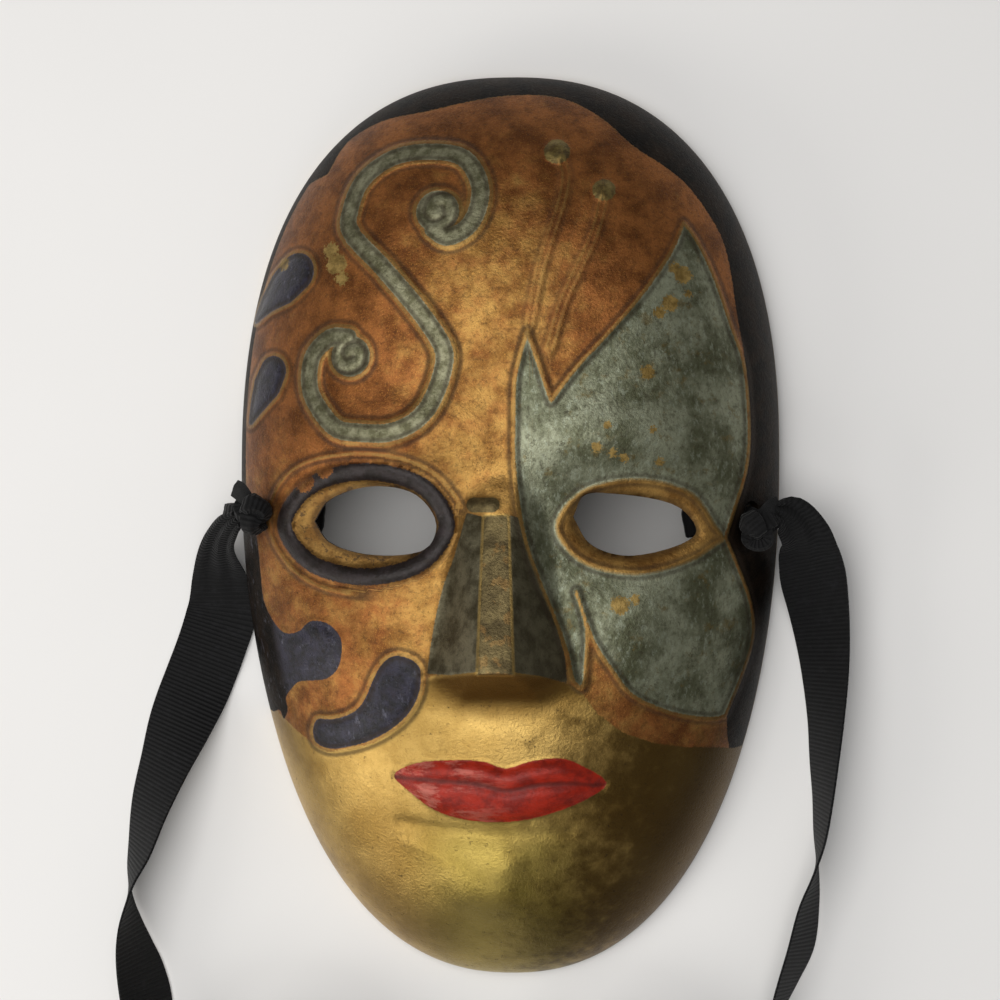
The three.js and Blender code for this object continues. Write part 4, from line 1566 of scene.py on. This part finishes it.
# ---- The ties -------------------------------------------------------------------------------
# Each section of a tie: its centre's X, Y and Z, its turn up off the table, and its width.
LEFT_SECTIONS = (
    (-62.6, -0.6, 18.4, 0, 5), (-64.6, -3, 13.5, 0, 7), (-66.3, -7, 7.6, 0, 9.5),
    (-66.8, -12.5, 2.5, 0, 13), (-66.8, -20, 0.7, 0, 16), (-69, -27.5, 0.6, 0, 16),
    (-72, -35.5, 0.6, 0, 16), (-75.8, -45, 2.6, 16, 16), (-79.2, -54.6, 5.1, 36, 16),
    (-82.3, -64, 6.5, 48, 16), (-84.5, -73.4, 7.4, 60, 16), (-86.3, -80, 8.2, 72, 16),
    (-86.9, -86, 8.5, 83, 16), (-86.6, -91.5, 8.5, 96, 16), (-85.6, -97.1, 8.2, 108, 16),
    (-84.2, -103, 7.6, 118, 16), (-82.9, -109.7, 7.2, 122, 16), (-82.3, -117, 7.6, 116, 16),
    (-82.3, -124, 8.2, 103, 16), (-82.9, -131, 8.5, 92, 16), (-83.9, -138, 8.5, 90, 16),
)
RIGHT_SECTIONS = (
    (63.4, 1.8, 20, 0, 8), (66.2, -1.8, 17.2, 8, 11), (67.4, -6.5, 13.6, 18, 14),
    (68.6, -12, 10.4, 28, 16), (69.8, -18, 8.2, 36, 16), (70.8, -25, 7, 45, 16),
    (71.4, -33, 7.2, 54, 16), (71.5, -44, 7.9, 65, 16), (71.1, -53.6, 8.3, 72, 16),
    (70.8, -62, 8.5, 79, 16), (70.2, -69.7, 8.5, 85, 16), (69.2, -78, 8.5, 98, 16),
    (67.7, -86, 8.1, 110, 16), (66, -95.2, 7.9, 115, 16), (63.4, -102, 8.1, 111, 16),
    (61.2, -107.7, 8.4, 106, 16), (59, -115, 8.5, 98, 16), (58, -122.5, 8.5, 93, 16),
    (57.9, -130, 8.5, 90, 16), (58.1, -138, 8.5, 90, 16),
)
# How each tie fans out of its knot, before its route's second section.
LEFT_LEAD = ((-59.4, 1.6, 21.4, 0, 3.5), (-61.6, 0.2, 19.4, 0, 5.5))
RIGHT_LEAD = ((59.6, 3.6, 22.0, 0, 3.5), (62.6, 2.6, 20.6, 0, 8.5))
RIBBON_WIDTH = 16.0
RIBBON_THICKNESS = 0.5
ROLL_Y = -142.0
ROLL_Z = 8.5
UPRIGHT = 90.0
STRAND_LENGTH = 42.0


@dataclass
class RibbonTie:
    """One temple's tie: its loop, knot, short end, and the free length with its roll.

    Attributes:
        word: left or right.
        side: -1 at the left and 1 at the right.
        sections: the free length's route.
        roll_x: the X of the roll's centre.
        form: the face that it is tied to.
        body: the body named for the free length's swing; not used.
        lead: the sections that fan out of the knot, before the route's second one.
        knot_rise: how far the knot sits above the tie hole, towards the crown.
        loop_reach: how much further the loop bulges in behind the eye's corner.
        knot_inset: how far the knot is pulled in over the mask's edge.
        knot_lift: how far the knot is lifted.
        roll_turns: how many times the put-away end is rolled round.
        roll_pitch: how much tighter the roll gets in each turn.
        blend_step: the step of the free length where its swing would be complete; not used.
        pieces: the finished pieces.
    """

    word: str
    side: int
    sections: Sequence[Sequence[float]]
    roll_x: float
    form: FaceForm
    body: Body
    lead: Sequence[Sequence[float]]
    knot_rise: float = 0.0
    loop_reach: float = 0.0
    knot_inset: float = 1.7
    knot_lift: float = 0.6
    roll_turns: float = 1.3
    roll_pitch: float = 7.0
    blend_step: int = 18
    pieces: list[bpy.types.Object] = field(default_factory=list)

    def route(self) -> Array:
        """Gives the free length's centre, turn and width, closely spaced."""
        hung = smooth_line([*self.lead, *self.sections[1:]], per_span=6)
        start = np.array(self.sections[-1], float)
        radius = abs(start[0] - self.roll_x)
        first = math.atan2(start[1] - ROLL_Y, start[0] - self.roll_x)
        sense = -self.side
        steps = int(self.roll_turns * 40)
        coil = []
        for i in range(2, steps + 1):
            turned = 2 * math.pi * self.roll_turns * i / steps
            reach = radius - self.roll_pitch * turned / (2 * math.pi)
            angle = first + sense * turned
            x = self.roll_x + reach * math.cos(angle)
            y = ROLL_Y + reach * math.sin(angle)
            coil.append((x, y, ROLL_Z, UPRIGHT, RIBBON_WIDTH))
        return even_steps(np.vstack([hung, np.array(coil)]), 1.2)

    def knot_centre(self) -> Array:
        """Gives the knot's centre, in millimetres, pulled a little in over the mask's edge."""
        low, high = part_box(f"{self.word}_knot")
        shift = np.array([-self.side * self.knot_inset, self.knot_rise, self.knot_lift])
        return np.array((low + high) / 2) / MM + shift

    def knot(self, material: bpy.types.Material) -> bpy.types.Object:
        """Makes the overhand knot, drawn tight, from one flattened strand.

        Args:
            material: the ribbon's material.

        Returns:
            The knot.
        """
        normal = self.form.normal(self.form.width / 2 - self.form.tie_inset, self.form.arch_y)
        normal[0] *= self.side
        level = np.array([0.0, 1.0, 0.0])
        over = np.cross(level, normal)
        over /= np.linalg.norm(over)
        level = np.cross(normal, over)
        t = np.linspace(0, 2 * math.pi, 150, endpoint=False)
        reach = 1.25
        flat = [reach * (np.sin(t) + 1.75 * np.sin(2 * t)), reach * (np.cos(t) - 1.75 * np.cos(2 * t))]
        rise = -1.6 * np.sin(3 * t)
        offsets = flat[0][:, None] * over + flat[1][:, None] * level + rise[:, None] * normal
        line = self.knot_centre() + offsets
        outward = offsets + normal * 0.6
        wide = np.full(len(t), 2.3) + 0.35 * np.sin(5 * t)
        thick = np.full(len(t), 1.4)
        piece = add_strand(f"{self.word}_tie_knot", line, outward, wide, thick, closed=True)
        return self.keep(piece, material, f"{self.word}_knot")

    def loop(self, material: bpy.types.Material) -> bpy.types.Object:
        """Makes the bight through the hole, down inside the wall and round under the rim.

        Args:
            material: the ribbon's material.

        Returns:
            The loop.
        """
        x, y, z = self.knot_centre()
        half = self.form.width / 2
        side = self.side
        knots = (
            (abs(x) - 0.6, y, z - 1.0, 2.0, 1.2),
            (54.4, 3.0, 16.6, 1.9, 1.2),
            (51.6, 2.6, 11.6, 2.6, 1.1),
            (45.6 - self.loop_reach, 1.8, 11.4, 3.6, 1.0),
            (42.6 - self.loop_reach, 1.2, 8.4, 4.2, 0.9),
            (48.5, 2.0, 3.6, 3.4, 0.9),
            (56.6, 2.8, 2.4, 2.6, 1.0),
            (half, 3.0, 2.4, 2.3, 1.0),
            (half + 1.9, 3.0, 5.0, 2.2, 1.1),
            (half + 1.9, 3.0, 11.0, 2.1, 1.2),
            (half + 0.5, 2.9, 17.0, 2.0, 1.2),
            (abs(x) + 1.2, y, z - 0.4, 1.8, 1.2),
        )
        route = even_steps(smooth_line(knots, per_span=8), 0.7)
        line = route[:, :3] * np.array([side, 1.0, 1.0])
        middle = np.array([side * 54.5, 3.0, 10.0])
        piece = add_strand(f"{self.word}_tie_loop", line, line - middle, route[:, 3], route[:, 4])
        return self.keep(piece, material, f"{self.word}_ribbon_loop")

    def short_end(self, material: bpy.types.Material) -> bpy.types.Object:
        """Makes the short cut end that stands out of the knot.

        Args:
            material: the ribbon's material.

        Returns:
            The short end.
        """
        x, y, z = self.knot_centre()
        side = self.side
        knots = (
            (x, y + 1.2, z + 0.5, 1.4), (x + side * 1.4, y + 3.2, z + 0.6, 1.7),
            (x + side * 3.0, y + 4.7, z - 0.6, 2.0), (x + side * 4.4, y + 5.4, z - 2.2, 1.9),
        )
        route = even_steps(smooth_line(knots, per_span=6), 0.5)
        line = route[:, :3]
        outward = np.tile([side * 0.4, 0.1, 1.0], (len(line), 1))
        thick = np.full(len(line), 0.5)
        piece = add_strand(f"{self.word}_tie_end", line, outward, route[:, 3], thick)
        return self.keep(piece, material, f"{self.word}_knot_end")

    def keep(self, piece: bpy.types.Object, material: bpy.types.Material, node: str) -> bpy.types.Object:
        """Finishes a piece that rides on the mask in place of one solid.

        Args:
            piece: the piece.
            material: the ribbon's material.
            node: the solid that it replaces.

        Returns:
            The piece.
        """
        piece.data.materials.append(material)
        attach(piece, Body.MASK.value)
        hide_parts(node)
        self.pieces.append(piece)
        return piece

    def free_length(self, material: Callable[[float], bpy.types.Material]) -> bpy.types.Object:
        """Makes the ribbon from the knot to its cut end in the roll.

        Args:
            material: makes the ribbon's material for a length in millimetres.

        Returns:
            The ribbon.
        """
        route = self.route()
        centres = route[:, :3]
        heading = np.gradient(centres, axis=0)
        heading /= np.linalg.norm(heading, axis=1)[:, None]
        level = np.stack([-heading[:, 1], heading[:, 0], np.zeros(len(route))], axis=1)
        level /= np.linalg.norm(level, axis=1)[:, None]
        turn = np.radians(route[:, 3])[:, None]
        across = level * np.cos(turn) + np.array([0.0, 0.0, 1.0]) * np.sin(turn)
        normal = np.cross(heading, across)
        normal /= np.linalg.norm(normal, axis=1)[:, None]
        rows = len(route) - 1
        piece, u, v = add_grid(f"{self.word}_tie_ribbon", 16, rows)
        index = np.round((v + 1) / 2 * rows).astype(int)
        width = route[index, 4]
        gather = np.clip(1 - width / RIBBON_WIDTH, 0, 1)
        pleat = 1.1 * gather * np.cos(u * 2.5 * math.pi)
        places = (
            centres[index]
            + across[index] * (u * width / 2)[:, None]
            + normal[index] * pleat[:, None]
        )
        write_places(piece, places * MM)
        pick(piece)
        solid = piece.modifiers.new("thickness", "SOLIDIFY")
        solid.thickness = RIBBON_THICKNESS * MM
        solid.offset = 0.0
        bpy.ops.object.modifier_apply(modifier=solid.name)
        bpy.ops.object.shade_smooth_by_angle(angle=math.radians(40))
        length = float(np.linalg.norm(np.diff(centres, axis=0), axis=1).sum())
        piece.data.materials.append(material(length))
        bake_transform(piece)
        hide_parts(f"{self.word}_ribbon", f"{self.word}_ribbon_roll")
        self.pieces.append(piece)
        return piece


# ---- The studio -----------------------------------------------------------------------------
@dataclass(frozen=True)
class Lamp:
    """One soft light: where it stands, what it looks at, its size, strength and colour."""

    name: str
    place: tuple[float, float, float]
    size: float
    power: float
    colour: Colour


LAMPS = (
    Lamp("overhead", (-0.2, 0.1, 1.0), 0.9, 8.6, (1.0, 0.99, 0.97)),
    Lamp("left_window", (-0.85, -0.55, 0.42), 0.6, 4.6, (1.0, 0.97, 0.92)),
    Lamp("front_window", (-0.15, -1.0, 0.75), 0.45, 1.8, (1.0, 1.0, 0.98)),
)


@dataclass(frozen=True)
class Studio:
    """The pale table, the soft light and the camera.

    Attributes:
        target: the place that the camera and the lights look at.
        distance: how far the camera is from it.
        lean: how far the camera leans to the right.
        view_width: how wide the view is at the target.
        sensor: the camera's sensor width, in millimetres.
        table_drop: how far the table top is under the rim.
    """

    target: tuple[float, float, float] = (-0.0023, 0.00575, 0.0)
    distance: float = 0.55
    lean: float = math.radians(3.7)
    view_width: float = 0.23
    sensor: float = 36.0
    table_drop: float = 0.0002

    def camera(self) -> None:
        """Sets the camera above the face, leaning a little to the right."""
        data = bpy.data.cameras.new("camera")
        camera = bpy.data.objects.new("camera", data)
        bpy.context.scene.collection.objects.link(camera)
        back = Vector((math.sin(self.lean), 0.0, math.cos(self.lean)))
        camera.location = Vector(self.target) + back * self.distance
        camera.rotation_euler = (0.0, self.lean, 0.0)
        data.sensor_width = self.sensor
        data.lens = self.sensor * self.distance / self.view_width
        data.clip_start, data.clip_end = 0.01, 20.0
        bpy.context.scene.camera = camera

    def floor(self) -> None:
        """Lays the pale table top under the rim."""
        deselect()
        bpy.ops.mesh.primitive_plane_add(size=4.0, location=(0.0, 0.0, -self.table_drop))
        table = bpy.context.object
        table.name = "table_top"
        bench = NodeBench("pale_table")
        spot = bench.place()
        cloud = bench.noise(spot, 0.01, 3.0, 0.5)
        tone = bench.mix(cloud, srgb(228, 227, 226), srgb(234, 233, 232))
        bench.put(bench.shader.inputs["Base Color"], tone)
        bench.put(bench.shader.inputs["Roughness"], 0.7)
        bench.bump(bench.noise(spot, 1.2, 3.0, 0.5), 0.03, 0.4)
        table.data.materials.append(bench.material)

    def lights(self) -> None:
        """Hangs the lights and sets the room's own pale light."""
        for lamp in LAMPS:
            data = bpy.data.lights.new(lamp.name, "AREA")
            data.shape = "SQUARE"
            data.size = lamp.size
            data.energy = lamp.power
            data.color = lamp.colour
            light = bpy.data.objects.new(lamp.name, data)
            bpy.context.scene.collection.objects.link(light)
            light.location = lamp.place
            aim = Vector(self.target) - Vector(lamp.place)
            light.rotation_mode = "QUATERNION"
            light.rotation_quaternion = aim.to_track_quat("-Z", "Y")
        world = bpy.data.worlds.new("room")
        bpy.context.scene.world = world
        world.use_nodes = True
        background = world.node_tree.nodes["Background"]
        background.inputs["Color"].default_value = (0.9, 0.9, 0.92, 1.0)
        background.inputs["Strength"].default_value = 0.18
        bpy.context.scene.view_settings.view_transform = "Standard"


def report(piece: bpy.types.Object) -> None:
    """Logs a finished piece and how many triangles it has."""
    triangles = sum(len(face.vertices) - 2 for face in piece.data.polygons)
    LOG.info("%s: %d triangles", piece.name, triangles)


def main() -> None:
    """Makes the scene and reports each piece."""
    logging.basicConfig(level=logging.INFO, format="%(name)s: %(message)s")
    studio = Studio()
    studio.camera()
    form = FaceForm()
    ties = (
        RibbonTie("left", -1, LEFT_SECTIONS, -51.5, form, Body.LEFT_TIE, LEFT_LEAD),
        RibbonTie("right", 1, RIGHT_SECTIONS, 25.7, form, Body.RIGHT_TIE, RIGHT_LEAD, -3.4, 2.3),
    )
    strand = grosgrain(STRAND_LENGTH)
    for tie in ties:
        tie.knot(strand)
        tie.loop(strand)
        tie.short_end(strand)
        tie.free_length(grosgrain)
        for piece in tie.pieces:
            report(piece)
    shell = MaskShell(form, Ornament(form)).build()
    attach(shell, Body.MASK.value)
    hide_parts("mask_shell")
    report(shell)
    studio.floor()
    studio.lights()


if __name__ == "__main__":
    main()
